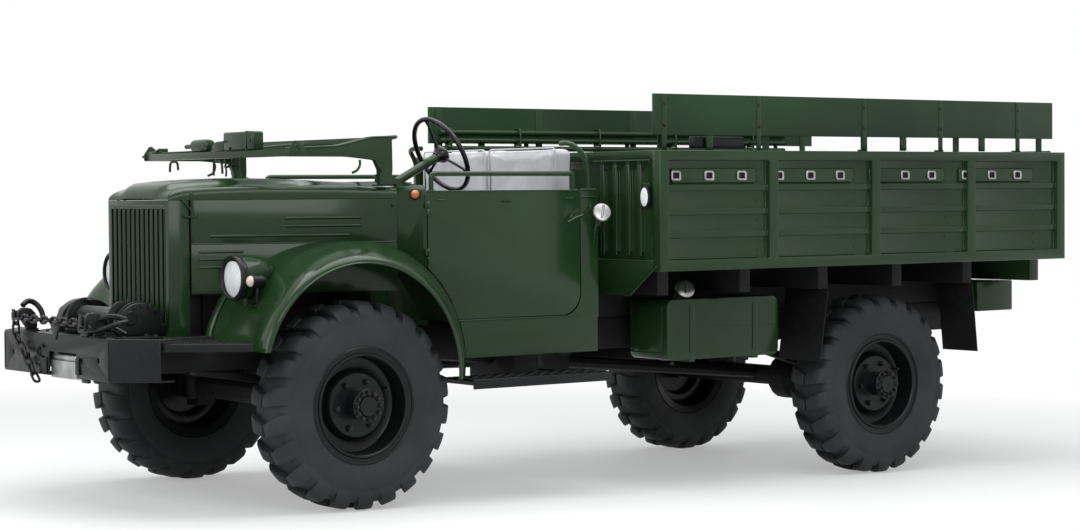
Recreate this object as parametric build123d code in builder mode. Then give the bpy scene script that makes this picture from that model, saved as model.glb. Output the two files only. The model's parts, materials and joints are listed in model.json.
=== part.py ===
"""Light four-wheel-drive military cargo truck with an open cab, a winch bumper and a steel load bed.

Units are millimetres. The truck is drawn level, X forward from the front axle, Y to the left and
Z up from the ground under the front wheels. It really stands a little nose-down, so each finished
piece is turned by the rake that the two axles give it, and moved so that the origin lies on the
ground midway along the truck. Round bars and drums are drawn many-sided, and turn in round bores.
"""

from math import asin, cos, degrees, pi, radians, sin, sqrt, tan
import os

from build123d import *

# Driving dimensions
wheelbase = 3300
track_front = 1588
track_rear = 1600
tyre_radius = 480
rear_spring_drop = 76          # how much higher the body stands over the rear axle
nose_x = 1102                  # front face of the bumper
bed_front_x = -1608
bed_rear_x = -4564
bed_half_width = 1085
bed_floor_z = 1100
bed_rail_z = 1651
cab_half_width = 780
cab_floor_z = 838
cab_sill_z = 660
door_top_z = 1459
bonnet_seam_z = 1425
side_seam_z = 1222
sheet = 6                      # body panels
plate = 8                      # frame and bed plates
fit_gap = 0.3                  # faces that meet without moving
swing_gap = 6                  # between pieces that move past each other
pin_gap = 0.05                 # round a pin in its bore
overrun = 50                   # how far a cutting shape passes its face

# Frame rails
rail_outer_y = 430
rail_width = 70
rail_top_z = 800
rail_height = 160
rail_front_x = nose_x - plate - fit_gap
rail_rear_x = -4440
rail_y = (rail_outer_y - rail_width, rail_outer_y)
rail_z = (rail_top_z - rail_height, rail_top_z)

rake = degrees(asin(rear_spring_drop / wheelbase))
rear_axle_x = -sqrt(wheelbase**2 - rear_spring_drop**2)
rear_axle_z = tyre_radius - rear_spring_drop

# Sides of the many-sided shapes
tube_sides = 8
bar_sides = 12
drum_sides = 16


def span(x, y, z, mode=Mode.ADD):
    """A block between two X, two Y and two Z values."""
    with Locations(((x[0] + x[1]) / 2, (y[0] + y[1]) / 2, (z[0] + z[1]) / 2)):
        Box(abs(x[1] - x[0]), abs(y[1] - y[0]), abs(z[1] - z[0]), mode=mode)


def outline(plane, points):
    """A closed straight-sided face on a plane."""
    with BuildSketch(plane) as face:
        with BuildLine():
            Polyline(*points, close=True)
        make_face()
    return face.sketch


def scaled(shares, origin, size):
    """Outline points given as shares of a size, counted from an origin."""
    return [(origin[0] + across * size[0], origin[1] + up * size[1]) for across, up in shares]


def side(y):
    """The plane seen from the truck's left at one Y: local x is X and local y is Z."""
    return Plane.XZ.offset(-y)


def rod(start, end, radius, mode=Mode.ADD, sides=None):
    """A bar from one point to another, round or with a number of sides."""
    line = Vector(*end) - Vector(*start)
    with BuildSketch(Plane(origin=start, z_dir=line)) as disc:
        if sides:
            RegularPolygon(radius, sides)
        else:
            Circle(radius)
    extrude(disc.sketch, amount=line.length, mode=mode)


def both_sides(piece):
    """The piece and its mirror image across the truck."""
    with BuildPart() as pair:
        add(piece.part)
        mirror(about=Plane.XZ)
    return pair


def other_side(piece):
    """The mirror image of a piece across the truck."""
    with BuildPart() as other:
        mirror(piece.part, about=Plane.XZ)
    return other


# Tyre, drawn round the Y axis at the origin with its outer side towards +Y
lug_count = 22
tread_floor_radius = 440
tyre_half_width = 131
lug_crown_half = 80
lug_shoulder_radius = 452
rim_seat_radius = 236
bead_half_width = 97
flange_radius = 268               # of the wheel's rim, outside the bead
flange_half_width = 109
sidewall_turn_radius = 330
lug_root_share = (-0.42, 0.32)     # of the pitch, at the shoulder
lug_tip_share = (0.02, 0.42)       # of the pitch, at the middle of the tread
lug_tip_y = 8
lug_pitch = 2 * tread_floor_radius * tan(pi / lug_count)


def drum(y, radius, mode=Mode.ADD):
    """A drum round the Y axis with as many sides as the tyre has lugs, its radius given at two Y values."""
    for place, reach in zip(y, radius):
        with BuildSketch(side(place)) as ring:
            RegularPolygon(reach, lug_count, major_radius=False)
        add(ring.sketch)
    loft(ruled=True, mode=mode)


with BuildPart() as lug_envelope:
    drum((0, lug_crown_half), (tyre_radius, tyre_radius))
    drum((lug_crown_half, tyre_half_width), (tyre_radius, lug_shoulder_radius))
    mirror(about=Plane.XZ)

with BuildPart() as lugs:
    for row in (-1, 1):
        for k in range(lug_count):
            turned = Plane.XY.rotated((0, k * 360 / lug_count, 0))
            with BuildSketch(turned.offset(tread_floor_radius - plate)):
                with BuildLine():
                    Polyline((lug_pitch * lug_tip_share[0], row * lug_tip_y),
                             (lug_pitch * lug_tip_share[1], row * lug_tip_y),
                             (lug_pitch * lug_root_share[1], row * tyre_half_width),
                             (lug_pitch * lug_root_share[0], row * tyre_half_width), close=True)
                make_face()
    extrude(amount=tyre_radius - tread_floor_radius + overrun)
    add(lug_envelope.part, mode=Mode.INTERSECT)

bead_recess = tyre_half_width - bead_half_width
bead_flare = sidewall_turn_radius - flange_radius - 2 * plate
with BuildPart() as tyre:
    drum((-tyre_half_width, tyre_half_width), (tread_floor_radius, tread_floor_radius))
    add(lugs.part)
    for turn in (-1, 1):
        drum((turn * bead_half_width, turn * (bead_half_width + 2 * bead_recess)),
             (sidewall_turn_radius - bead_flare, sidewall_turn_radius + bead_flare), Mode.SUBTRACT)
    drum((-tyre_half_width, tyre_half_width), (rim_seat_radius + fit_gap, rim_seat_radius + fit_gap), Mode.SUBTRACT)

# Pressed steel wheel with its hub, drawn like the tyre; the hub is bored for the stub axle
rim_inner_radius = 225
disc_y = 40
disc_thickness = 12
disc_boss_radius = 156
disc_boss_drop = 20
hub_radius = 68
hub_inner_y = -40
hub_reach = 36
stub_radius = 30
stub_depth = disc_y
with BuildPart() as wheel:
    drum((-flange_half_width, flange_half_width), (rim_seat_radius, rim_seat_radius))
    drum((bead_half_width + fit_gap, flange_half_width), (flange_radius, flange_radius))
    drum((disc_y, flange_half_width + overrun), (rim_inner_radius, rim_inner_radius), Mode.SUBTRACT)
    drum((-flange_half_width - overrun, disc_y - disc_thickness), (rim_inner_radius, rim_inner_radius), Mode.SUBTRACT)
    drum((disc_y - disc_thickness - disc_boss_drop, disc_y - disc_thickness), (disc_boss_radius, rim_inner_radius))
    drum((disc_y - disc_boss_drop, disc_y), (disc_boss_radius, rim_inner_radius), Mode.SUBTRACT)
    rod((0, hub_inner_y, 0), (0, disc_y + hub_reach, 0), hub_radius, sides=bar_sides)
    rod((0, hub_inner_y, 0), (0, stub_depth, 0), stub_radius + pin_gap, Mode.SUBTRACT)

# Frame: two channel rails with cross members
member_width = 70
winch_member_x = 940
radiator_member_x = (620, 530)
member_share = (0.43, 0.515, 0.685, 0.9)      # of the rails' length, counted from the front
rail_length = rail_front_x - rail_rear_x
member_x = [winch_member_x, *radiator_member_x, rail_rear_x + member_width / 2]
member_x += [rail_front_x - share * rail_length for share in member_share]
with BuildPart() as frame:
    span((rail_rear_x, rail_front_x), rail_y, rail_z)
    span((rail_rear_x - overrun, rail_front_x + overrun), (rail_y[0] - overrun, rail_y[1] - plate),
         (rail_z[0] + plate, rail_z[1] - plate), Mode.SUBTRACT)
    mirror(about=Plane.XZ)
    for x in member_x:
        span((x - member_width / 2, x + member_width / 2), (-rail_y[1] + plate, rail_y[1] - plate),
             (rail_z[0] + plate, rail_z[1] - plate))

# Front bumper: a channel with its ends bent back, and a hook on top at each side
bumper_z = (624, 813)
bumper_bend_y = 543
bumper_end = (938, 712)
bumper_depth = 75
notch_y = (-60, 222)
notch_top_z = 735
bumper_hole_radius = 13
bumper_holes = ((273, 706), (443, 715))         # Y and Z, on both sides
hook_y = 354
hook_width = 28
hook_size = (119, 112)
hook_reach = 45                                 # of the hook's point past the bumper's face
hook_shares = ((0.034, 0), (0.454, 0), (0.42, 0.446), (0.571, 0.696), (0.908, 0.696), (1, 0.946), (0.933, 0.964),
               (0.899, 0.839), (0.798, 0.839), (0.605, 1), (0.252, 0.929), (0, 0.589))
hook_points = scaled(hook_shares, (nose_x + hook_reach - hook_size[0], bumper_z[1]), hook_size)
hook_dip = (hook_points[8][0], hook_points[7][0], hook_points[7][1])    # where a ring hangs: X, X and Z


def bumper_plan(front, back):
    """The bumper's plan between a line set back from its front face and a line behind it."""
    return [(nose_x - front, -bumper_bend_y), (nose_x - front, bumper_bend_y),
            (bumper_end[0] - front, bumper_end[1]), (bumper_end[0] - back, bumper_end[1]),
            (nose_x - back, bumper_bend_y), (nose_x - back, -bumper_bend_y),
            (bumper_end[0] - back, -bumper_end[1]), (bumper_end[0] - front, -bumper_end[1])]


with BuildPart() as front_bumper:
    extrude(outline(Plane.XY.offset(bumper_z[0]), bumper_plan(0, bumper_depth)), amount=bumper_z[1] - bumper_z[0])
    extrude(outline(Plane.XY.offset(bumper_z[0] + plate), bumper_plan(plate, bumper_depth + overrun)),
            amount=bumper_z[1] - bumper_z[0] - 2 * plate, mode=Mode.SUBTRACT)
    span((nose_x - bumper_depth - overrun, nose_x + overrun), notch_y, (bumper_z[0] - overrun, notch_top_z),
         Mode.SUBTRACT)
    for turn in (-1, 1):
        for y, z in bumper_holes:
            rod((nose_x - 2 * plate, turn * y, z), (nose_x + plate, turn * y, z), bumper_hole_radius, Mode.SUBTRACT,
                tube_sides)
        extrude(outline(side(turn * hook_y + hook_width / 2), hook_points), amount=hook_width)

# Winch on the front of the frame, its drum across the truck
winch_x = 860
winch_z = 890
drum_half_length = 215
drum_radius = 45
drum_flange_radius = 76
drum_flange_width = 14
winch_shaft_radius = 22
winch_bracket_width = 60
winch_box_width = 150
winch_box_half = 75
winch_box_top = winch_z + 70
with BuildPart() as winch_drum:
    rod((winch_x, -drum_half_length, winch_z), (winch_x, drum_half_length, winch_z), drum_radius, sides=bar_sides)
    for y in (-drum_half_length, drum_half_length - drum_flange_width):
        rod((winch_x, y, winch_z), (winch_x, y + drum_flange_width, winch_z), drum_flange_radius, sides=drum_sides)
    rod((winch_x, -drum_half_length - winch_box_width, winch_z),
        (winch_x, drum_half_length + winch_bracket_width, winch_z), winch_shaft_radius, sides=bar_sides)

winch_base_x = (winch_x - 90, winch_x + 110)
with BuildPart() as winch_frame:
    span(winch_base_x, (-rail_outer_y, rail_outer_y), (rail_top_z + fit_gap, rail_top_z + plate))
    for turn, width in ((-1, winch_box_width), (1, winch_bracket_width)):
        near = drum_half_length + swing_gap
        span((winch_x - winch_box_half, winch_x + winch_box_half), (turn * near, turn * (near + width)),
             (rail_top_z + plate, winch_box_top))
    rod((winch_x, -drum_half_length - winch_box_width - overrun, winch_z),
        (winch_x, drum_half_length + winch_box_width, winch_z), winch_shaft_radius + pin_gap, Mode.SUBTRACT)

# Fairlead in the bumper's notch: a level roller over a dark box
roller_radius = 22
roller_z = notch_top_z - roller_radius - plate / 2
fairlead_x = nose_x - bumper_depth / 2
fairlead_half_depth = 27
with BuildPart() as fairlead:
    rod((fairlead_x, notch_y[0] + fit_gap, roller_z), (fairlead_x, notch_y[1] - fit_gap, roller_z), roller_radius,
        sides=bar_sides)
    span((fairlead_x - fairlead_half_depth, fairlead_x + fairlead_half_depth),
         (notch_y[0] + fit_gap, notch_y[1] - fit_gap), (bumper_z[0] - plate, roller_z - roller_radius + plate))

# Tow chain: a ring on each hook, a level strand between them and a loose strand hanging from the right ring.
# The links are flat-sided rings of square bar, turned in turn.
link_bar = 11
link_width = 42
level_links = 13
loose_links = 6
loose_slope = 42                  # below level, degrees
ring_length = 55
ring_half_width = hook_width / 2 + link_bar + swing_gap
ring_x = (hook_dip[0] + hook_dip[1] - link_bar) / 2
ring_z = (hook_dip[2] + fit_gap - ring_length, hook_dip[2] + fit_gap)
chain_x = ring_x + link_bar / 2
level_z = (ring_z[0] + ring_z[1]) / 2
level_end = hook_y - ring_half_width + 2 * link_bar + fit_gap
link_overlap = 2 * link_bar + fit_gap
link_length = (2 * level_end + (level_links - 1) * link_overlap) / level_links
link_pitch = link_length - link_overlap
link_corner_share = 0.45


def chain_link(centre, along, across):
    """One link: its middle, the way it lies and the way that its flat face looks."""
    long = link_length / 2
    wide = link_width / 2
    cut = wide * link_corner_share
    with BuildSketch(Plane(origin=centre, x_dir=along, z_dir=across).offset(-link_bar / 2)) as link:
        with BuildLine():
            Polyline((long, cut - wide), (long, wide - cut), (long - cut, wide), (cut - long, wide),
                     (-long, wide - cut), (-long, cut - wide), (cut - long, -wide), (long - cut, -wide), close=True)
        make_face()
        Rectangle(link_length - 2 * link_bar, link_width - 2 * link_bar, mode=Mode.SUBTRACT)
    extrude(link.sketch, amount=link_bar)


with BuildPart() as tow_chain:
    for turn in (-1, 1):
        span((ring_x, ring_x + link_bar), (turn * hook_y - ring_half_width, turn * hook_y + ring_half_width),
             (ring_z[0] - link_bar, ring_z[1] + link_bar))
        span((ring_x, ring_x + link_bar),
             (turn * hook_y - ring_half_width + link_bar, turn * hook_y + ring_half_width - link_bar), ring_z,
             Mode.SUBTRACT)
    for k in range(level_links):
        y = link_length / 2 - level_end + k * link_pitch
        chain_link((chain_x, y, level_z), (0, 1, 0), (1, 0, 0) if k % 2 else (0, 0, 1))
    hang_z = ring_z[0] + link_bar + fit_gap - link_length / 2
    chain_link((chain_x, -hook_y, hang_z), (0, 0, 1), (0, 1, 0))
    fall = Vector(0, cos(radians(loose_slope)), -sin(radians(loose_slope)))
    face = Vector(0, sin(radians(loose_slope)), cos(radians(loose_slope)))
    low_bar = Vector(chain_x, -hook_y, hang_z - link_length / 2 + link_bar / 2)
    first = low_bar + fall * (link_length / 2 - link_bar - link_bar / sqrt(2) - fit_gap)
    for k in range(loose_links):
        chain_link(first + fall * k * link_pitch, fall, face if k % 2 else (1, 0, 0))

# Tread-plate steps on both sides of the winch
step_z = 792
step_edge = 34
step_x = (600, 628, 860, 915)
step_inner_y = rail_outer_y + fit_gap
step_outer_y = 947
step_bumper_y = bumper_end[1] - 2 * sheet
step_rim = 2 * plate
with BuildPart() as left_step:
    extrude(outline(Plane.XY.offset(step_z - step_edge), [
        (step_x[3], step_bumper_y), (step_x[3], bumper_end[1]), (step_x[1], step_outer_y), (step_x[0], step_outer_y),
        (step_x[0], step_inner_y), (step_x[2], step_inner_y), (step_x[2], step_bumper_y)]), amount=step_edge)
    extrude(outline(Plane.XY.offset(step_z - step_edge - overrun), [
        (step_x[2] - plate, step_bumper_y - plate), (step_x[1] - sheet, step_outer_y - step_rim),
        (step_x[0] + plate, step_outer_y - step_rim), (step_x[0] + plate, step_inner_y + plate),
        (step_x[2] - plate, step_inner_y + plate)]), amount=step_edge + overrun - plate, mode=Mode.SUBTRACT)
front_steps = both_sides(left_step)

# Radiator shell with upright louvre slots, standing on a cross member
grille_x = 670
grille_half_width = 303
grille_bottom_z = rail_top_z - plate + fit_gap
grille_top_z = bonnet_seam_z - fit_gap
shell_rear_x = 575
shell_rear_half = 325
louvre_count = 12
louvre_pitch = 46
louvre_width = 22
louvre_z = (845, 1385)
with BuildPart() as radiator_shell:
    for inset, mode in ((0, Mode.ADD), (sheet, Mode.SUBTRACT)):
        extrude(outline(Plane.XY.offset(grille_bottom_z), [
            (grille_x - inset, inset - grille_half_width), (grille_x - inset, grille_half_width - inset),
            (shell_rear_x - inset, shell_rear_half - inset), (shell_rear_x - inset, inset - shell_rear_half)]),
            amount=grille_top_z - grille_bottom_z - inset, mode=mode)
    for k in range(louvre_count):
        y = (k - (louvre_count - 1) / 2) * louvre_pitch
        span((grille_x - sheet - plate, grille_x + overrun), (y - louvre_width / 2, y + louvre_width / 2), louvre_z,
             Mode.SUBTRACT)

# Radiator core close behind the slots
core_x = (500, 560)
core_half_width = 290
core_top_z = 1370
with BuildPart() as radiator:
    span(core_x, (-core_half_width, core_half_width), (grille_bottom_z, core_top_z))

# Cowl line shared by the bonnet, its sides and the cab
cowl_front = (-340, 676)       # X and half width
cowl_rear = (-436, cab_half_width)

# Bonnet: a lofted lid with rounded edges, level shoulders and a raised middle
hood_stations = (              # X, half width, shoulder and crown heights over the seam, half width of the crown
    (grille_x - fit_gap, grille_half_width, 26, 40, 170),
    (590, 322, 52, 84, 215),
    (240, 452, 64, 104, 270),
    (-90, 580, 60, 93, 310),
    (cowl_front[0] + fit_gap, cowl_front[1], 52, 78, 340),
)
hood_edge = 22                 # of the rounded outer edge
cowl_rise = (52, 80, 340, 62, 84, 400)    # shoulder, crown and crown half width at the cowl's front, then its rear


def hood_face(x, half, shoulder, crown, flat, low, inset):
    """The bonnet's or the cowl's cross-section at one X, drawn in by an inset."""
    top = bonnet_seam_z + shoulder - inset
    peak = bonnet_seam_z + crown - inset
    left = [(half - inset, low), (half - inset, top - hood_edge), (half - inset - hood_edge, top),
            (flat + crown - shoulder, top), (flat, peak)]
    return outline(Plane.YZ.offset(x), left + [(-y, z) for y, z in reversed(left)])


with BuildPart() as bonnet:
    for inset, mode in ((0, Mode.ADD), (sheet, Mode.SUBTRACT)):
        for x, half, shoulder, crown, flat in hood_stations:
            inward = -inset if x > shell_rear_x + overrun else inset if x < cowl_front[0] + overrun else 0
            add(hood_face(x + inward, half, shoulder, crown, flat, bonnet_seam_z - inset, inset))
        loft(ruled=True, mode=mode)

# Bonnet sides: an upper and a lower panel on each side
side_bottom_z = 990
side_front = (shell_rear_x - sheet - fit_gap, shell_rear_half)
side_rear = (cowl_front[0] + fit_gap, cowl_front[1])
with BuildPart() as left_bonnet_side:
    for low, high in ((side_bottom_z, side_seam_z - fit_gap), (side_seam_z, bonnet_seam_z - fit_gap)):
        extrude(outline(Plane.XY.offset(low), [
            side_front, side_rear, (side_rear[0], side_rear[1] - sheet), (side_front[0], side_front[1] - sheet)]),
            amount=high - low)
bonnet_sides = both_sides(left_bonnet_side)

# Front fenders: a shell arched over each wheel, wider towards the cab
fender_outer_y = 975
fender_waist_y = cab_half_width
fender_skirt = 42
fender_foot_z = 578
fender_nose_z = 750
outer_arch = (34, 618, 555)    # centre X and Z, radius
inner_arch = (-60, 640, 590)
arch_sides = 36
far = 2 * tyre_radius


def arch_disc(arch, grow):
    """The many-sided disc that one arch follows, for the sketch in hand."""
    with Locations(arch[:2]):
        RegularPolygon(arch[2] + grow, arch_sides)


def arch_face(y, arch, inset):
    """The space under one arch, closed along a level line at its feet."""
    foot = fender_foot_z - (sheet if inset else 0)
    with BuildSketch(side(y)) as face:
        arch_disc(arch, -inset)
        with Locations((arch[0], foot - far)):
            Rectangle(2 * far, 2 * far, mode=Mode.SUBTRACT)
    return face.sketch


with BuildPart() as left_fender:
    add(arch_face(fender_outer_y, outer_arch, 0))
    add(arch_face(fender_waist_y, inner_arch, 0))
    loft(ruled=True)
    extrude(arch_face(fender_waist_y, inner_arch, 0), amount=fender_waist_y)
    extrude(arch_face(fender_waist_y, inner_arch, sheet), amount=fender_waist_y + overrun, mode=Mode.SUBTRACT)
    with BuildPart(mode=Mode.SUBTRACT):
        add(arch_face(fender_outer_y - sheet, outer_arch, sheet))
        add(arch_face(fender_waist_y, inner_arch, sheet))
        loft(ruled=True)
    extrude(arch_face(fender_outer_y + overrun, outer_arch, fender_skirt), amount=3 * overrun, mode=Mode.SUBTRACT)
    span((outer_arch[0], far), (-overrun, far), (0, fender_nose_z), Mode.SUBTRACT)
    extrude(outline(Plane.XY, [
        (far, -overrun), (far, shell_rear_half + fit_gap), (side_front[0], shell_rear_half + fit_gap),
        (cowl_front[0], cowl_front[1] + fit_gap), (cowl_rear[0], cowl_rear[1] + swing_gap),
        (-far, cowl_rear[1] + swing_gap), (-far, -overrun)]), amount=2 * far, mode=Mode.SUBTRACT)
    span((0, far), (-overrun, rail_outer_y + swing_gap), (0, rail_top_z + plate + swing_gap), Mode.SUBTRACT)
fenders = both_sides(left_fender)

# Headlamps: a tapered bucket with a glass in front, on a short post from the fender
lamp_centre = (506, 594, 1070)
lamp_radius = 88
lamp_rim = 14
lamp_rim_depth = 28
lamp_depth = 120
lamp_tail_radius = 42
lamp_post_radius = 16
lamp_post_x = lamp_centre[0] - 55
lamp_post_length = 170
with BuildPart() as left_headlamp:
    for x, radius in ((lamp_centre[0] - lamp_rim_depth, lamp_radius + lamp_rim),
                      (lamp_centre[0] - lamp_depth, lamp_tail_radius)):
        with BuildSketch(Plane.YZ.offset(x)):
            with Locations(lamp_centre[1:]):
                RegularPolygon(radius, drum_sides)
    loft(ruled=True)
    with BuildSketch(Plane.YZ.offset(lamp_centre[0] - lamp_rim_depth)) as rim:
        with Locations(lamp_centre[1:]):
            RegularPolygon(lamp_radius + lamp_rim, drum_sides)
    extrude(amount=lamp_rim_depth)
    with BuildSketch(Plane.YZ.offset(lamp_centre[0] - lamp_rim)):
        with Locations(lamp_centre[1:]):
            RegularPolygon(lamp_radius, drum_sides)
    extrude(amount=lamp_rim, mode=Mode.SUBTRACT)
    rod((lamp_post_x, lamp_centre[1], lamp_centre[2] - lamp_post_length), (lamp_post_x, *lamp_centre[1:]),
        lamp_post_radius, sides=tube_sides)
    with BuildSketch(side(lamp_centre[1] + lamp_radius)):
        arch_disc(inner_arch, fit_gap)
    extrude(amount=2 * lamp_radius, mode=Mode.SUBTRACT)
headlamps = both_sides(left_headlamp)
lens_thickness = 10
with BuildPart() as left_lens:
    with BuildSketch(Plane.YZ.offset(lamp_centre[0] - lamp_rim + fit_gap)):
        with Locations(lamp_centre[1:]):
            RegularPolygon(lamp_radius - 2 * fit_gap, drum_sides)
    extrude(amount=lens_thickness)
headlamp_glass = both_sides(left_lens)

# Cowl with the dashboard and the two feet that carry the windscreen
screen_half_width = 700
screen_bar = 30
screen_pivot = (-262, 1520)
pivot_radius = 14
foot_width = 24
foot_outer_y = screen_half_width - screen_bar - swing_gap
foot_size = (158, 80)
foot_shares = ((-1, -1), (-0.544, -1), (-0.519, -0.325), (0.152, -0.25), (0.152, 0.225), (-0.076, 0.275), (-1, -0.3))
wheelhouse_y = rail_outer_y + plate    # inner wall of the space over each front wheel
dash_half_width = 738
dash_low_z = 1250


def wheelhouse(inner_y, outer_y, gap, mode):
    """The round space over the left front wheel, up to a gap above the fender's own arch."""
    with BuildSketch(side(outer_y)) as disc:
        arch_disc(inner_arch, gap)
    extrude(disc.sketch, amount=outer_y - inner_y, mode=mode)


# Door hinges: upright pins in barrels, carried by the cowl
hinge_x = cowl_rear[0] - swing_gap
hinge_stand = 9
hinge_y = cab_half_width + hinge_stand
hinge_heights = (1380, 1155)
hinge_barrel_radius = 9
hinge_pin_radius = 5
hinge_barrel_length = 32

with BuildPart() as cowl:
    for inset, mode in ((0, Mode.ADD), (sheet, Mode.SUBTRACT)):
        low = cab_floor_z + fit_gap - (overrun if inset else 0)
        add(hood_face(cowl_front[0] - inset, cowl_front[1], *cowl_rise[:3], low, inset))
        add(hood_face(cowl_rear[0], cowl_rear[1], *cowl_rise[3:], low, inset))
        loft(ruled=True, mode=mode)
    extrude(hood_face(cowl_rear[0], dash_half_width, *cowl_rise[3:], dash_low_z, sheet), amount=2 * sheet)
    for turn in (-1, 1):
        extrude(outline(side(turn * (foot_outer_y - foot_width / 2) + foot_width / 2),
                        scaled(foot_shares, screen_pivot, foot_size)), amount=foot_width)
    wheelhouse(wheelhouse_y, cab_half_width + overrun, swing_gap, Mode.SUBTRACT)
    wheelhouse(-cab_half_width - overrun, -wheelhouse_y, swing_gap, Mode.SUBTRACT)
    rod((screen_pivot[0], -screen_half_width, screen_pivot[1]), (screen_pivot[0], screen_half_width, screen_pivot[1]),
        pivot_radius + pin_gap, Mode.SUBTRACT)
    for z in hinge_heights:
        for turn in (-1, 1):
            span((hinge_x, cowl_rear[0] + 2 * sheet), (turn * (cab_half_width - 2 * sheet), turn * hinge_y),
                 (z, z + hinge_barrel_length))
            rod((hinge_x, turn * hinge_y, z), (hinge_x, turn * hinge_y, z + hinge_barrel_length), hinge_barrel_radius,
                sides=tube_sides)
            rod((hinge_x, turn * hinge_y, z - hinge_barrel_length - swing_gap), (hinge_x, turn * hinge_y, z),
                hinge_pin_radius, sides=bar_sides)

# Doors, hinged at their front edges, the lower front corner cut to the fender
door_front_x = cowl_rear[0] - swing_gap
door_rear_x = -1346
door_bottom_z = 847
door_thickness = 34
door_corner = 110
cab_rear_x = -1454
door_frame = 70                # width of the door's frame round its hollow inner side
door_hollow_z = 1040


def door_face(y, grow):
    """The door's outline, or its opening when grown."""
    with BuildSketch(side(y)) as face:
        with BuildLine():
            Polyline((door_front_x + grow, door_bottom_z - grow), (door_front_x + grow, door_top_z + grow * overrun),
                     (door_rear_x - grow, door_top_z + grow * overrun), (door_rear_x - grow, door_bottom_z - grow),
                     close=True)
        make_face()
        corner = face.vertices().group_by(Axis.X)[0].sort_by(Axis.Y)[0]
        fillet(corner, door_corner)
        with Locations(inner_arch[:2]):
            RegularPolygon(inner_arch[2] + swing_gap - grow, arch_sides, mode=Mode.SUBTRACT)
    return face.sketch


with BuildPart() as door_left:
    extrude(door_face(cab_half_width, 0), amount=door_thickness)
    span((door_rear_x + door_frame, door_front_x - door_frame),
         (cab_half_width - door_thickness - overrun, cab_half_width - sheet), (door_hollow_z, door_top_z - door_frame),
         Mode.SUBTRACT)
    for z in hinge_heights:
        low = z - hinge_barrel_length - swing_gap
        span((door_front_x - 3 * hinge_barrel_radius, hinge_x), (cab_half_width, hinge_y),
             (low, low + hinge_barrel_length))
        rod((hinge_x, hinge_y, low), (hinge_x, hinge_y, low + hinge_barrel_length), hinge_barrel_radius,
            sides=tube_sides)
        rod((hinge_x, hinge_y, low - overrun), (hinge_x, hinge_y, z + overrun), hinge_pin_radius + pin_gap,
            Mode.SUBTRACT)
door_right = other_side(door_left)

# Cab tub: sides with the door openings, rear wall, floor, wheel housings, seat box and frame mounts
seat_box_x = (-1400, -960)
seat_box_y = 620
seat_box_z = 1090
cab_mount_x = (-640, -1330)
cab_mount_half = 40
cab_front_x = cowl_rear[0] - fit_gap
with BuildPart() as cab_tub:
    span((cab_rear_x, cab_front_x), (cab_half_width - sheet, cab_half_width), (cab_sill_z, door_top_z))
    extrude(door_face(cab_half_width + overrun, swing_gap), amount=3 * overrun, mode=Mode.SUBTRACT)
    span((cab_rear_x, cab_front_x), (wheelhouse_y, cab_half_width),
         (cab_floor_z - sheet, door_bottom_z + 3 * door_corner))
    wheelhouse(wheelhouse_y - overrun, cab_half_width + overrun, swing_gap, Mode.SUBTRACT)
    with BuildPart(mode=Mode.SUBTRACT):
        span((cab_rear_x, cab_front_x + overrun), (wheelhouse_y - overrun, cab_half_width - sheet),
             (cab_floor_z, door_top_z))
        wheelhouse(wheelhouse_y - overrun, cab_half_width, swing_gap + sheet, Mode.SUBTRACT)
    extrude(door_face(cab_half_width + overrun, swing_gap), amount=overrun + door_thickness + swing_gap,
            mode=Mode.SUBTRACT)
    span((cab_rear_x, cowl_front[0]), (0, wheelhouse_y), (cab_floor_z - sheet, cab_floor_z))
    with BuildPart():
        wheelhouse(wheelhouse_y - sheet, wheelhouse_y, swing_gap + sheet, Mode.ADD)
        span((cab_front_x - far, cab_front_x), (0, cab_half_width), (cab_floor_z - sheet, door_top_z),
             Mode.INTERSECT)
    span((cab_rear_x - sheet, cab_rear_x), (0, cab_half_width), (cab_floor_z - sheet, door_top_z))
    span(seat_box_x, (0, seat_box_y), (cab_floor_z, seat_box_z))
    for x in cab_mount_x:
        span((x - cab_mount_half, x + cab_mount_half), (rail_y[0] + plate, rail_y[1] - plate),
             (rail_top_z + fit_gap, cab_floor_z - sheet))
    mirror(about=Plane.XZ)

# Rails over the doors, on two posts
grab_z = 1540
grab_radius = 12
grab_y = cab_half_width - door_thickness / 2
grab_inset = 28
grab_x = (door_front_x - grab_inset, door_rear_x + grab_inset)
with BuildPart() as left_grab:
    rod((grab_x[0], grab_y, grab_z), (grab_x[1], grab_y, grab_z), grab_radius, sides=tube_sides)
    for x in (grab_x[0] - grab_radius, grab_x[1] + grab_radius):
        rod((x, grab_y, door_top_z + fit_gap), (x, grab_y, grab_z), grab_radius - pin_gap, sides=tube_sides)
right_grab = other_side(left_grab)

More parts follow.
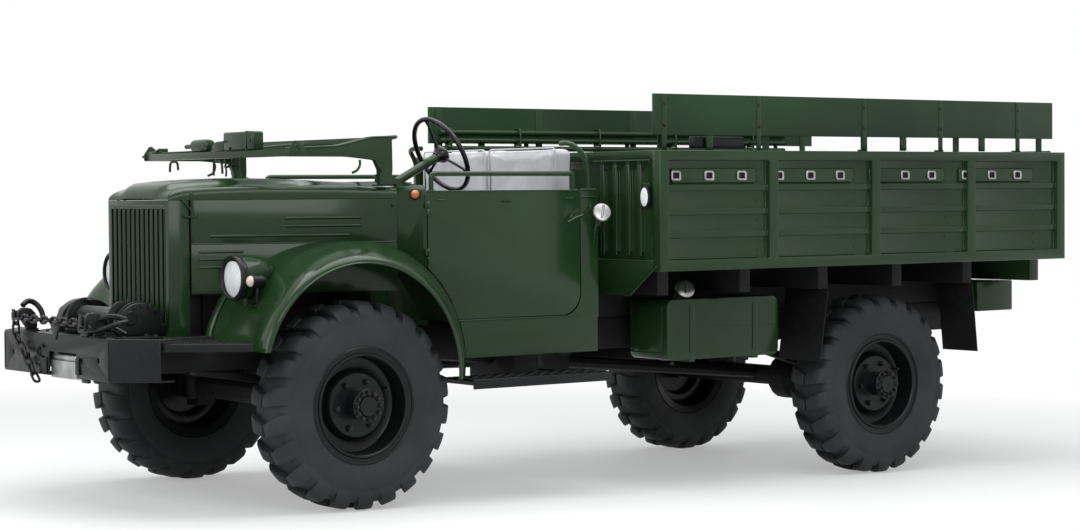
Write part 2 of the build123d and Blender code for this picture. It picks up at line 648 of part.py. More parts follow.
# Windscreen, folded forward over the bonnet; upright, its lower bar stands just above the cowl
screen_size = (524, 202)                # from the pivot to the far bar's front and to the top of the arms
screen_low_bar = ((-262, -215), (1672, 1712))
screen_top_bar = ((225, 262), (1622, 1655))
screen_post_half = 20
glass_thickness = 5
glass_z = (1676, 1636)
arm_shares = ((-0.12, 1), (0.137, 0.965), (0.5, 0.733), (1, 0.668), (1, 0.505), (0.385, 0.505), (0.109, 0.426),
              (0.065, 0.198), (0.061, -0.139), (-0.057, -0.139), (-0.073, 0.198), (-0.069, 0.891), (-0.12, 0.921))
with BuildPart() as windscreen_frame:
    extrude(outline(side(screen_half_width), scaled(arm_shares, screen_pivot, screen_size)), amount=screen_bar)
    mirror(about=Plane.XZ)
    for bar in (screen_low_bar, screen_top_bar):
        span(bar[0], (-screen_half_width, screen_half_width), bar[1])
    extrude(outline(side(screen_post_half), [
        (screen_low_bar[0][1] - screen_bar, screen_low_bar[1][0]),
        (screen_low_bar[0][1] - screen_bar, screen_low_bar[1][0] + screen_bar),
        (screen_top_bar[0][1], screen_top_bar[1][1]), (screen_top_bar[0][1], screen_top_bar[1][0] + plate)]),
        amount=2 * screen_post_half)
    for turn in (-1, 1):
        rod((screen_pivot[0], turn * (foot_outer_y - foot_width), screen_pivot[1]),
            (screen_pivot[0], turn * screen_half_width, screen_pivot[1]), pivot_radius, sides=bar_sides)
with BuildPart() as left_screen_glass:
    glass_x = (screen_low_bar[0][1] + fit_gap, screen_top_bar[0][0] - fit_gap)
    extrude(outline(side(screen_half_width - screen_bar - fit_gap), [
        (glass_x[0], glass_z[0]), (glass_x[1], glass_z[1]), (glass_x[1], glass_z[1] + glass_thickness),
        (glass_x[0], glass_z[0] + glass_thickness)]),
        amount=screen_half_width - screen_bar - screen_post_half - 2 * fit_gap)
windscreen_glass = both_sides(left_screen_glass)

# Seats: two cushions and two backs
seat_y = (6, 597)
seat_back_thickness = 118
seat_back_top_z = 1679
cushion_x = (cab_rear_x + seat_back_thickness + swing_gap, -900)
cushion_top_z = 1235
with BuildPart() as left_cushion:
    span(cushion_x, seat_y, (seat_box_z + fit_gap, cushion_top_z))
seat_cushion = both_sides(left_cushion)
with BuildPart() as left_back:
    span((cab_rear_x + fit_gap, cab_rear_x + seat_back_thickness), seat_y, (seat_box_z + fit_gap, seat_back_top_z))
seat_back = both_sides(left_back)

# Steering wheel and column
steer_hub = (-781, 400, 1638)
steer_radius = 205
steer_tube = 14
steer_boss_radius = 35
steer_slope = 27               # of the column, degrees
column_reach = 375
column_radius = 22
steer_pin_radius = 9
steer_dir = Vector(-cos(radians(steer_slope)), 0, sin(radians(steer_slope)))
with BuildPart() as steering_wheel:
    with BuildSketch(Plane(origin=steer_hub, z_dir=steer_dir).offset(-steer_tube / 2)):
        RegularPolygon(steer_radius, drum_sides)
        RegularPolygon(steer_radius - steer_tube, drum_sides, mode=Mode.SUBTRACT)
        with PolarLocations(steer_radius / 2, 3):
            Rectangle(steer_radius - steer_tube, steer_tube)
        RegularPolygon(steer_boss_radius, bar_sides)
        Circle(steer_pin_radius + pin_gap, mode=Mode.SUBTRACT)
    extrude(amount=steer_tube)
with BuildPart() as steering_column:
    rod(Vector(*steer_hub) - steer_dir * column_reach, Vector(*steer_hub) - steer_dir * (steer_tube / 2 + fit_gap),
        column_radius, sides=bar_sides)
    rod(Vector(*steer_hub) - steer_dir * steer_tube, Vector(*steer_hub) + steer_dir * (steer_tube / 2), steer_pin_radius,
        sides=bar_sides)

# Running boards on brackets from the frame
board_x = (-1407, -580)
board_y = (700, 950)
board_top_z = 570
board_lip_z = 525
board_thickness = 12
bracket_half = 20
bracket_x = (board_x[0] + 3 * bracket_half, board_x[1] - 3 * bracket_half)
with BuildPart() as left_board:
    span(board_x, board_y, (board_top_z - board_thickness, board_top_z))
    span(board_x, (board_y[1] - plate, board_y[1]), (board_lip_z, board_top_z))
    for x in bracket_x:
        span((x - bracket_half, x + bracket_half), (rail_outer_y + fit_gap, board_y[1] - plate),
             (board_top_z - board_thickness - bracket_half, board_top_z - board_thickness))
        span((x - bracket_half, x + bracket_half), (rail_outer_y + fit_gap, rail_outer_y + plate),
             (board_top_z - board_thickness, rail_top_z))
running_boards = both_sides(left_board)

# Engine on two feet, and the driveline behind it
engine_x = (-180, 450)
engine_half_width = 210
engine_z = (700, 1300)
engine_foot_x = (100, 180)
engine_foot_height = 30
mount_margin = 10              # from a mount's edge to the rail's
with BuildPart() as engine:
    span(engine_x, (-engine_half_width, engine_half_width), engine_z)
    span(engine_foot_x, (mount_margin - rail_outer_y, rail_outer_y - mount_margin),
         (rail_top_z + fit_gap, rail_top_z + engine_foot_height))
gearbox_x = (-800, engine_x[0] - fit_gap)
gearbox_half_width = 150
gearbox_z = (620, 825)
transfer_x = (-1700, -1350)
transfer_y = (-180, 220)
transfer_z = (480, rail_z[0])
transfer_foot_x = (-1560, -1480)
shaft_radius = 32
shaft_z = (650, 590, 560)
shaft_drop = 20                # of the rear shaft's end above the axle
diff_radius = 122
with BuildPart() as driveline:
    span(gearbox_x, (-gearbox_half_width, gearbox_half_width), gearbox_z)
    span(transfer_x, transfer_y, transfer_z)
    rod((gearbox_x[0], 0, shaft_z[0]), (transfer_x[1], 0, shaft_z[1]), shaft_radius, sides=tube_sides)
    rod((transfer_x[0], 0, shaft_z[2]), (rear_axle_x + diff_radius + fit_gap, 0, rear_axle_z + shaft_drop),
        shaft_radius, sides=tube_sides)
    span(transfer_foot_x, (mount_margin - rail_outer_y, rail_outer_y - mount_margin),
         (rail_z[0] - shaft_drop, rail_z[0] - fit_gap))

# Exhaust under the right side
pipe_y = -320
pipe_x = (-100, -1900)
pipe_z = (720, 540)
pipe_radius = 28
silencer_x = (-1900, -2600)
silencer_radius = 85
hanger_x = (-2270, -2230)
hanger_y = (-400, -370)
with BuildPart() as exhaust:
    rod((pipe_x[0], -engine_half_width - fit_gap, pipe_z[0]), (pipe_x[0], pipe_y, pipe_z[0]), pipe_radius,
        sides=tube_sides)
    rod((pipe_x[0], pipe_y, pipe_z[0] + pipe_radius), (pipe_x[0], pipe_y, pipe_z[1]), pipe_radius, sides=tube_sides)
    rod((pipe_x[0], pipe_y, pipe_z[1] + pipe_radius), (pipe_x[1], pipe_y, pipe_z[1]), pipe_radius, sides=tube_sides)
    rod((silencer_x[0], pipe_y, pipe_z[1]), (silencer_x[1], pipe_y, pipe_z[1]), silencer_radius, sides=bar_sides)
    span(hanger_x, hanger_y, (pipe_z[1] + pipe_radius, rail_z[0] - fit_gap))

# Fuel tank on two brackets at the left rail
tank_x = (-2643, -1885)
tank_z = (590, 899)
tank_y = (500, 800)
tank_corner = 40
tank_strap_x = (tank_x[0] + 163, tank_x[1] - 165)
tank_strap_half = 20
tank_strap_thickness = 12
with BuildPart() as fuel_tank:
    with BuildSketch(side(tank_y[1])):
        with Locations(((tank_x[0] + tank_x[1]) / 2, (tank_z[0] + tank_z[1]) / 2)):
            RectangleRounded(tank_x[1] - tank_x[0], tank_z[1] - tank_z[0], tank_corner)
    extrude(amount=tank_y[1] - tank_y[0])
    for x in tank_strap_x:
        strap_x = (x - tank_strap_half, x + tank_strap_half)
        span(strap_x, (rail_outer_y + fit_gap, tank_y[1]), (tank_z[0] - tank_strap_thickness, tank_z[0]))
        span(strap_x, (rail_outer_y + fit_gap, rail_outer_y + plate),
             (tank_z[0] - tank_strap_thickness, rail_top_z - mount_margin))

# Axles with their differentials
axle_radius = 55
diff_y = 180
diff_half_width = 55
diff_shoulder_share = 0.55
kingpin_y = 680
kingpin_radius = 18
yoke_y = 605
yoke_wall = 15
yoke_reach = 30                # of the yoke's arms past the kingpin
yoke_half_x = 40
yoke_z = (70, 95)
knuckle_radius = 60
stub_reach = 4                 # the stub axle stops this far short of the hub's blind end


def differential(x, z):
    """The round housing on one axle, tapered on both sides."""
    for turn in (-1, 1):
        for reach, radius in ((0, diff_radius), (diff_half_width, diff_radius),
                              (2 * diff_half_width, diff_radius * diff_shoulder_share)):
            with BuildSketch(side(diff_y + turn * reach)) as ring:
                with Locations((x, z)):
                    RegularPolygon(radius, drum_sides)
            add(ring.sketch)
        loft(ruled=True)


with BuildPart() as front_axle:
    rod((0, -yoke_y, tyre_radius), (0, yoke_y, tyre_radius), axle_radius, sides=bar_sides)
    differential(0, tyre_radius)
    for turn in (-1, 1):
        span((-yoke_half_x, yoke_half_x), (turn * (yoke_y - yoke_wall), turn * yoke_y),
             (tyre_radius - yoke_z[1], tyre_radius + yoke_z[1]))
        for up in (-1, 1):
            span((-yoke_half_x, yoke_half_x), (turn * (yoke_y - yoke_wall), turn * (kingpin_y + yoke_reach)),
                 (tyre_radius + up * yoke_z[0], tyre_radius + up * yoke_z[1]))
    for turn in (-1, 1):
        rod((0, turn * kingpin_y, tyre_radius - yoke_z[1] - overrun),
            (0, turn * kingpin_y, tyre_radius + yoke_z[1] + overrun), kingpin_radius + pin_gap, Mode.SUBTRACT)

# Front knuckles on their kingpins, with the stub axle and the steering arm
arm_end = (-165, kingpin_y)
arm_z = (466, 486)
arm_half_width = 15
arm_pin_radius = 10
with BuildPart() as knuckle_left:
    rod((0, kingpin_y, tyre_radius - yoke_z[0] + swing_gap), (0, kingpin_y, tyre_radius + yoke_z[0] - swing_gap),
        knuckle_radius, sides=bar_sides)
    rod((0, kingpin_y, tyre_radius - yoke_z[1]), (0, kingpin_y, tyre_radius + yoke_z[1]), kingpin_radius,
        sides=bar_sides)
    rod((0, kingpin_y, tyre_radius), (0, track_front / 2 + stub_depth - stub_reach, tyre_radius), stub_radius,
        sides=drum_sides)
    extrude(outline(Plane.XY.offset(arm_z[0]), [
        (0, kingpin_y - arm_half_width), (0, kingpin_y + arm_half_width),
        (arm_end[0] - arm_half_width, arm_end[1] + arm_half_width),
        (arm_end[0] - arm_half_width, arm_end[1] - arm_half_width)]), amount=arm_z[1] - arm_z[0])
    rod((*arm_end, arm_z[0] - overrun), (*arm_end, arm_z[1] + overrun), arm_pin_radius + pin_gap, Mode.SUBTRACT)
knuckle_right = other_side(knuckle_left)

# Tie rod under the steering arms
tie_radius = 12
tie_end_radius = 22
tie_end_half = 14
tie_z = arm_z[0] - swing_gap - tie_end_half
with BuildPart() as tie_rod:
    rod((arm_end[0], -arm_end[1], tie_z), (arm_end[0], arm_end[1], tie_z), tie_radius, sides=tube_sides)
    for turn in (-1, 1):
        rod((arm_end[0], turn * arm_end[1], tie_z - tie_end_half),
            (arm_end[0], turn * arm_end[1], tie_z + tie_end_half), tie_end_radius, sides=bar_sides)
    rod((arm_end[0], arm_end[1], tie_z), (arm_end[0], arm_end[1], arm_z[1]), arm_pin_radius, sides=bar_sides)

axle_end_y = track_rear / 2 + hub_inner_y - swing_gap
with BuildPart() as rear_axle:
    rod((rear_axle_x, -axle_end_y, rear_axle_z), (rear_axle_x, axle_end_y, rear_axle_z), axle_radius, sides=bar_sides)
    differential(rear_axle_x, rear_axle_z)
    rod((rear_axle_x, -track_rear / 2 - stub_depth + stub_reach, rear_axle_z),
        (rear_axle_x, track_rear / 2 + stub_depth - stub_reach, rear_axle_z), stub_radius, sides=drum_sides)

# Leaf springs between the axles and the rails
spring_y = (rail_outer_y - 65, rail_outer_y - 5)
spring_reach = 600
spring_seat_half = 60
spring_eye = 40
leaf_end = 16
leaf_middle = 50
with BuildPart() as leaf_springs:
    for x, z in ((0, tyre_radius), (rear_axle_x, rear_axle_z)):
        seat = z + axle_radius + fit_gap
        hang = rail_z[0] - fit_gap
        extrude(outline(side(spring_y[1]), [
            (x - spring_reach, hang), (x - spring_reach, hang - leaf_end), (x - spring_seat_half, seat),
            (x + spring_seat_half, seat), (x + spring_reach, hang - leaf_end), (x + spring_reach, hang),
            (x + spring_reach - spring_eye, hang), (x + spring_seat_half, seat + leaf_middle),
            (x - spring_seat_half, seat + leaf_middle), (x - spring_reach + spring_eye, hang)]),
            amount=spring_y[1] - spring_y[0])
    mirror(about=Plane.XZ)

# Load bed: floor on bearers and sleepers, front wall, sides and tailgate
side_thickness = 60
floor_thickness = 20
gate_thickness = 36
bearer_count = 6
bearer_half = 35
bearer_z = 930
bearer_half_length = bed_half_width - 155
bearer_ends = (bed_front_x - 142, bed_rear_x + 84)
bearer_pitch = (bearer_ends[0] - bearer_ends[1]) / (bearer_count - 1)
bearer_x = [bearer_ends[0] - k * bearer_pitch for k in range(bearer_count)]
sleeper_margin = 5
gate_hinge_stand = 6
gate_hinge = (bed_rear_x - gate_hinge_stand, bed_floor_z - 10)    # X and Z of the tailgate's hinge pins
gate_hinge_y = (-700, 700)
gate_barrel_radius = 10
gate_barrel_length = 40
gate_pin_radius = 5
inner_half_width = bed_half_width - side_thickness - fit_gap
floor_rear_x = bed_rear_x + gate_thickness + 10
apron_thickness = 8
apron_half_width = (bed_half_width - 240, bed_half_width - 20)    # along its lower edge and at its top
with BuildPart() as bed_floor:
    span((floor_rear_x, bed_front_x), (-inner_half_width, inner_half_width),
         (bed_floor_z - floor_thickness, bed_floor_z))
    for x in bearer_x:
        span((x - bearer_half, x + bearer_half), (-bearer_half_length, bearer_half_length),
             (bearer_z, bed_floor_z - floor_thickness))
    for turn in (-1, 1):
        span((rail_rear_x + floor_thickness, bed_front_x - side_thickness),
             (turn * (rail_y[0] + sleeper_margin), turn * (rail_y[1] - sleeper_margin)),
             (rail_top_z + fit_gap, bearer_z))
    extrude(outline(Plane.YZ.offset(bed_front_x - apron_thickness), [
        (-apron_half_width[0], bearer_z), (apron_half_width[0], bearer_z),
        (inner_half_width, bed_floor_z - 2 * floor_thickness), (inner_half_width, bed_floor_z),
        (-inner_half_width, bed_floor_z), (-inner_half_width, bed_floor_z - 2 * floor_thickness)]),
        amount=apron_thickness)
    for y in gate_hinge_y:
        span((gate_hinge[0], floor_rear_x + plate), (y - swing_gap - gate_barrel_length, y - swing_gap),
             (gate_hinge[1] - gate_barrel_radius, gate_hinge[1] + gate_barrel_radius))
        rod((gate_hinge[0], y - swing_gap - gate_barrel_length, gate_hinge[1]),
            (gate_hinge[0], y - swing_gap, gate_hinge[1]), gate_barrel_radius, sides=tube_sides)
        rod((gate_hinge[0], y - swing_gap, gate_hinge[1]), (gate_hinge[0], y + gate_barrel_length, gate_hinge[1]),
            gate_pin_radius, sides=bar_sides)

# Walls of the bed: pressed panels with three ribs between rails and posts
low_rail_z = (1054, 1109)
high_rail_z = (1602, bed_rail_z)
post_width = 60
panel_count = 4
panel_inset = 34               # of the panels' outer face behind the rails
rib_depth = 16
rib_half_height = 15
rib_z = (1232, 1345, 1465)
front_rib_y = (634, 735, 838, 929)
front_wall_thickness = 40
with BuildPart() as bed_front:
    span((bed_front_x - front_wall_thickness, bed_front_x - rib_depth), (-inner_half_width, inner_half_width),
         (bed_floor_z + fit_gap, bed_rail_z))
    for turn in (-1, 1):
        for y in front_rib_y:
            span((bed_front_x - rib_depth, bed_front_x), (turn * y - rib_half_height, turn * y + rib_half_height),
                 (bed_floor_z + overrun, high_rail_z[0] - overrun))
    span((bed_front_x - rib_depth, bed_front_x), (-inner_half_width, inner_half_width), high_rail_z)
    span((bed_front_x - rib_depth, bed_front_x), (-inner_half_width, inner_half_width),
         (bed_floor_z + fit_gap, low_rail_z[1]))
with BuildPart() as left_bed_side:
    for z in (low_rail_z, high_rail_z):
        span((bed_rear_x, bed_front_x), (bed_half_width - side_thickness, bed_half_width), z)
    span((bed_rear_x, bed_front_x), (bed_half_width - panel_inset - sheet, bed_half_width - panel_inset),
         (low_rail_z[1], high_rail_z[0]))
    for z in rib_z:
        span((bed_rear_x + post_width, bed_front_x - post_width),
             (bed_half_width - panel_inset, bed_half_width - panel_inset + rib_depth),
             (z - rib_half_height, z + rib_half_height))
    for k in range(panel_count + 1):
        x = bed_front_x - (bed_front_x - bed_rear_x - post_width) * k / panel_count
        span((x - post_width, x), (bed_half_width - side_thickness, bed_half_width), (low_rail_z[1], high_rail_z[0]))
bed_sides = both_sides(left_bed_side)

gate_half_width = bed_half_width - side_thickness - swing_gap
gate_bottom_z = bed_floor_z + swing_gap
gate_barrel_height = 40
with BuildPart() as tailgate:
    span((bed_rear_x, bed_rear_x + gate_thickness), (-gate_half_width, gate_half_width), (gate_bottom_z, bed_rail_z))
    for turn in (-1, 1):
        span((bed_rear_x - overrun, bed_rear_x + rib_depth), (turn * post_width / 2, turn * (gate_half_width - post_width)),
             (gate_bottom_z + post_width, rib_z[0] - rib_half_height), Mode.SUBTRACT)
        for low, high in ((rib_z[0], rib_z[1]), (rib_z[1], rib_z[2]), (rib_z[2], bed_rail_z - post_width)):
            span((bed_rear_x - overrun, bed_rear_x + rib_depth),
                 (turn * post_width / 2, turn * (gate_half_width - post_width)),
                 (low + rib_half_height, high - rib_half_height), Mode.SUBTRACT)
    for y in gate_hinge_y:
        span((gate_hinge[0], gate_hinge[0] + gate_barrel_radius), (y, y + gate_barrel_length),
             (gate_hinge[1], gate_bottom_z))
        span((gate_hinge[0] - gate_barrel_radius, bed_rear_x), (y, y + gate_barrel_length),
             (gate_hinge[1], gate_bottom_z + gate_barrel_height))
        rod((gate_hinge[0], y, gate_hinge[1]), (gate_hinge[0], y + gate_barrel_length, gate_hinge[1]),
            gate_barrel_radius, sides=tube_sides)
        rod((gate_hinge[0], y - overrun, gate_hinge[1]), (gate_hinge[0], y + gate_barrel_length + overrun, gate_hinge[1]),
            gate_pin_radius + pin_gap, Mode.SUBTRACT)

# Boards above the sides on straps
rack_y = bed_half_width - 87
rack_thickness = 22
rack_z = (1728, 1932)
rack_x = (bed_rear_x + 4, -1649)
rack_strap_share = (0.02, 0.26, 0.5, 0.74, 0.97)      # of the board's length, counted from its front
rack_strap_half = 22
rack_strap_thickness = 8
rack_foot_z = bed_rail_z - 11
with BuildPart() as left_rack:
    span(rack_x, (rack_y - rack_thickness, rack_y), rack_z)
    strap_y = (rack_y - rack_thickness - rack_strap_thickness, rack_y - rack_thickness)
    for share in rack_strap_share:
        x = rack_x[1] - share * (rack_x[1] - rack_x[0])
        strap_x = (x - rack_strap_half, x + rack_strap_half)
        span(strap_x, strap_y, (rack_foot_z, rack_z[1]))
        span(strap_x, (strap_y[0], bed_half_width - side_thickness - fit_gap),
             (rack_foot_z, rack_foot_z + rack_strap_thickness))
bed_racks = both_sides(left_rack)

# Stowed hoops on the right rack
bow_radius = 15
bow_x = (-1700, -4300)
bow_z = (1700, 1745, 1790)
bow_y = rack_y - rack_thickness - rack_strap_thickness - fit_gap - bow_radius
with BuildPart() as bows:
    for z in bow_z:
        rod((bow_x[0], -bow_y, z), (bow_x[1], -bow_y, z), bow_radius, sides=bar_sides)

# Mudguards in front of and behind the rear wheels, hung from the bearers
flap_outer_y = 950
flap_top_z = bearer_z - fit_gap
flap_low_z = 550
flap_lean = (60, -40)                 # of the front and the rear flap's foot, forward of its top
flap_inner_y = (628, 689)
flap_bearers = (bearer_x[2], bearer_x[4])
with BuildPart() as left_flaps:
    for inner_y, lean, bearer in zip(flap_inner_y, flap_lean, flap_bearers):
        high_x = bearer - bearer_half / 2
        low_x = high_x + lean
        extrude(outline(side(flap_outer_y), [
            (low_x, flap_low_z), (high_x, flap_top_z), (high_x - sheet, flap_top_z), (low_x - sheet, flap_low_z)]),
            amount=flap_outer_y - inner_y)
mudguards = both_sides(left_flaps)

# Boxes outside the frame's rear end, and the tow pintle
tail_box_x = (-4556, -4264)
tail_box_y = (rail_outer_y + fit_gap, 700)
tail_box_z = (753, 925)
with BuildPart() as left_tail:
    span(tail_box_x, tail_box_y, tail_box_z)
rear_boxes = both_sides(left_tail)
pintle_x = (rail_rear_x - 118, rail_rear_x - fit_gap)
pintle_half_width = 45
pintle_z = (680, 760)
pintle_wall = 20
pintle_pin = (rail_rear_x - 80, 16)    # X of the upright pin hole, and its radius
with BuildPart() as tow_pintle:
    span(pintle_x, (-pintle_half_width, pintle_half_width), pintle_z)
    span((pintle_x[0] - overrun, rail_rear_x - 1.5 * pintle_wall), (-pintle_half_width, pintle_half_width),
         (pintle_z[0] + pintle_wall, pintle_z[1] - pintle_wall), Mode.SUBTRACT)
    rod((pintle_pin[0], 0, pintle_z[0] - overrun), (pintle_pin[0], 0, pintle_z[1] + overrun), pintle_pin[1],
        Mode.SUBTRACT)

pieces = {
    "frame": frame, "front_bumper": front_bumper, "winch_frame": winch_frame, "winch_drum": winch_drum,
    "fairlead": fairlead, "tow_chain": tow_chain, "front_steps": front_steps, "radiator_shell": radiator_shell,
    "radiator": radiator, "bonnet": bonnet, "bonnet_sides": bonnet_sides, "fenders": fenders,
    "headlamps": headlamps, "headlamp_glass": headlamp_glass, "cowl": cowl, "cab_tub": cab_tub,
    "door_left": door_left, "door_right": door_right, "grab_rail_left": left_grab, "grab_rail_right": right_grab,
    "windscreen_frame": windscreen_frame, "windscreen_glass": windscreen_glass, "seat_cushion": seat_cushion,
    "seat_back": seat_back, "steering_wheel": steering_wheel, "steering_column": steering_column,
    "running_boards": running_boards, "engine": engine, "driveline": driveline, "exhaust": exhaust,
    "fuel_tank": fuel_tank, "front_axle": front_axle, "rear_axle": rear_axle, "knuckle_left": knuckle_left,
    "knuckle_right": knuckle_right, "tie_rod": tie_rod, "leaf_springs": leaf_springs, "bed_floor": bed_floor,
    "bed_front": bed_front, "bed_sides": bed_sides, "tailgate": tailgate, "bed_racks": bed_racks, "bows": bows,
    "mudguards": mudguards, "rear_boxes": rear_boxes, "tow_pintle": tow_pintle,
}

# Wheels and tyres at the four corners, the outer side of each turned outwards
corners = {
    "front_left": (0, track_front / 2, tyre_radius, 0),
    "front_right": (0, -track_front / 2, tyre_radius, 180),
    "rear_left": (rear_axle_x, track_rear / 2, rear_axle_z, 0),
    "rear_right": (rear_axle_x, -track_rear / 2, rear_axle_z, 180),
}
for name, (x, y, z, turn) in corners.items():
    for kind, round_piece in (("wheel", wheel), ("tyre", tyre)):
        with BuildPart() as placed:
            add(round_piece.part.moved(Location((x, y, z), (0, 0, turn))))
        pieces[f"{kind}_{name}"] = placed

# The stance: nose-down by the rake about the front wheel centres, origin on the ground midway along
def turned_x(x, z):
    """Where a point's X comes to when the truck is turned by its rake."""
    return x * cos(radians(rake)) + (z - tyre_radius) * rear_spring_drop / wheelbase


middle_x = (turned_x(chain_x + link_width / 2, level_z) + turned_x(bed_rear_x, low_rail_z[0])) / 2
stance = Location((-middle_x, 0, tyre_radius)) * Location((0, 0, 0), (0, rake, 0)) * Location((0, 0, -tyre_radius))
os.makedirs("parts", exist_ok=True)
for name, piece in pieces.items():
    piece.part.label = name
    piece.part.locate(stance)
    export_step(piece.part, f"parts/{name}.step")
print(len(pieces), "pieces, rake", round(rake, 4), "degrees, middle", middle_x)
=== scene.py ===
import json
import math

import bpy
from mathutils import Matrix, Vector

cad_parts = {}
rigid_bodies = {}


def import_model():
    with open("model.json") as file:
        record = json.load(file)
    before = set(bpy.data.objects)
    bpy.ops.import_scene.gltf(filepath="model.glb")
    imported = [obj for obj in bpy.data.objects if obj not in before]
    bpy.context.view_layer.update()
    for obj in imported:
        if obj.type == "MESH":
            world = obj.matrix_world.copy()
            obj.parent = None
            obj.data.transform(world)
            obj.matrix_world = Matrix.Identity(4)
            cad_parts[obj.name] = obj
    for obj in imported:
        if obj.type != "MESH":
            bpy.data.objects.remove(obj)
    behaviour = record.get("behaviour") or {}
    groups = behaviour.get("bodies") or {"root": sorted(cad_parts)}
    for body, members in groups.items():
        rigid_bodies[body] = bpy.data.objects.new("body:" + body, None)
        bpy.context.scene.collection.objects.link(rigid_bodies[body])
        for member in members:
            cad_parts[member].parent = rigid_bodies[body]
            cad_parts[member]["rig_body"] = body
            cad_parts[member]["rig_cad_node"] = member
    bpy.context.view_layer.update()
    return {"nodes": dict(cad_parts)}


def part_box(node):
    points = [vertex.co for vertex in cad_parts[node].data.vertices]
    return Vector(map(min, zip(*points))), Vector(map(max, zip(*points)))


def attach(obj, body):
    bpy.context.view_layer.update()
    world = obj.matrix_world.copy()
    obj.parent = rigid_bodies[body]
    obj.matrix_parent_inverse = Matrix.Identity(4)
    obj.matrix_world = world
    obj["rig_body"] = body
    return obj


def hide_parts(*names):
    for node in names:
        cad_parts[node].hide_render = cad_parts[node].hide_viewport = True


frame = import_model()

# the truck is modelled level in millimetres, forward from the front axle, then set down on its nose-down stance
stand = {"wheelbase": 3300, "rearDrop": 76, "wheelRadius": 480, "trackFront": 1588, "trackRear": 1600}
wheelLow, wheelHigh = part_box("wheel_front_left")
frontAxle = (wheelLow + wheelHigh) / 2
lift = Vector((0, 0, frontAxle.z))
stance = (Matrix.Translation((frontAxle.x, 0, frontAxle.z))
          @ Matrix.Rotation(math.asin(stand["rearDrop"] / stand["wheelbase"]), 4, "Y")
          @ Matrix.Translation(-lift))
rearAxleX = -math.sqrt(stand["wheelbase"] ** 2 - stand["rearDrop"] ** 2)
rearAxleZ = stand["wheelRadius"] - stand["rearDrop"]
print("stage: frame loaded, front axle at", [round(v, 4) for v in frontAxle])

# camera: solved from the photograph's own lines, in metres and degrees
camera = {"place": (7.5963, 10.1276, 1.3037), "yaw": -126.771, "pitch": -0.903, "roll": 0.605,
          "lens": 79.86, "sensor": 36.0}
cameraData = bpy.data.cameras.new("photoCamera")
cameraData.lens = camera["lens"]
cameraData.sensor_width = camera["sensor"]
cameraData.sensor_fit = "HORIZONTAL"
cameraData.clip_end = 200
photoCamera = bpy.data.objects.new("photoCamera", cameraData)
bpy.context.collection.objects.link(photoCamera)
turn = (Matrix.Rotation(math.radians(camera["yaw"] - 90), 4, "Z")
        @ Matrix.Rotation(math.radians(90 + camera["pitch"]), 4, "X")
        @ Matrix.Rotation(math.radians(camera["roll"]), 4, "Z"))
photoCamera.matrix_world = Matrix.Translation(camera["place"]) @ turn
bpy.context.scene.camera = photoCamera
bpy.context.scene.view_settings.view_transform = "Standard"


def hexColour(code, alpha=1.0):
    # sRGB hex to the linear values that nodes take
    parts = [int(code[i:i + 2], 16) / 255 for i in (1, 3, 5)]
    return tuple(p / 12.92 if p <= 0.04045 else ((p + 0.055) / 1.055) ** 2.4 for p in parts) + (alpha,)


def addNode(tree, kind, links=None, **settings):
    # a node with its settings; each socket takes a value or another node's output
    node = tree.nodes.new(kind)
    for setting, value in settings.items():
        setattr(node, setting, value)
    for socket, value in (links or {}).items():
        if isinstance(value, bpy.types.NodeSocket):
            tree.links.new(value, node.inputs[socket])
        else:
            node.inputs[socket].default_value = value
    return node


def newMaterial(name):
    material = bpy.data.materials.new(name)
    material.use_nodes = True
    material.node_tree.nodes.clear()
    return material, material.node_tree


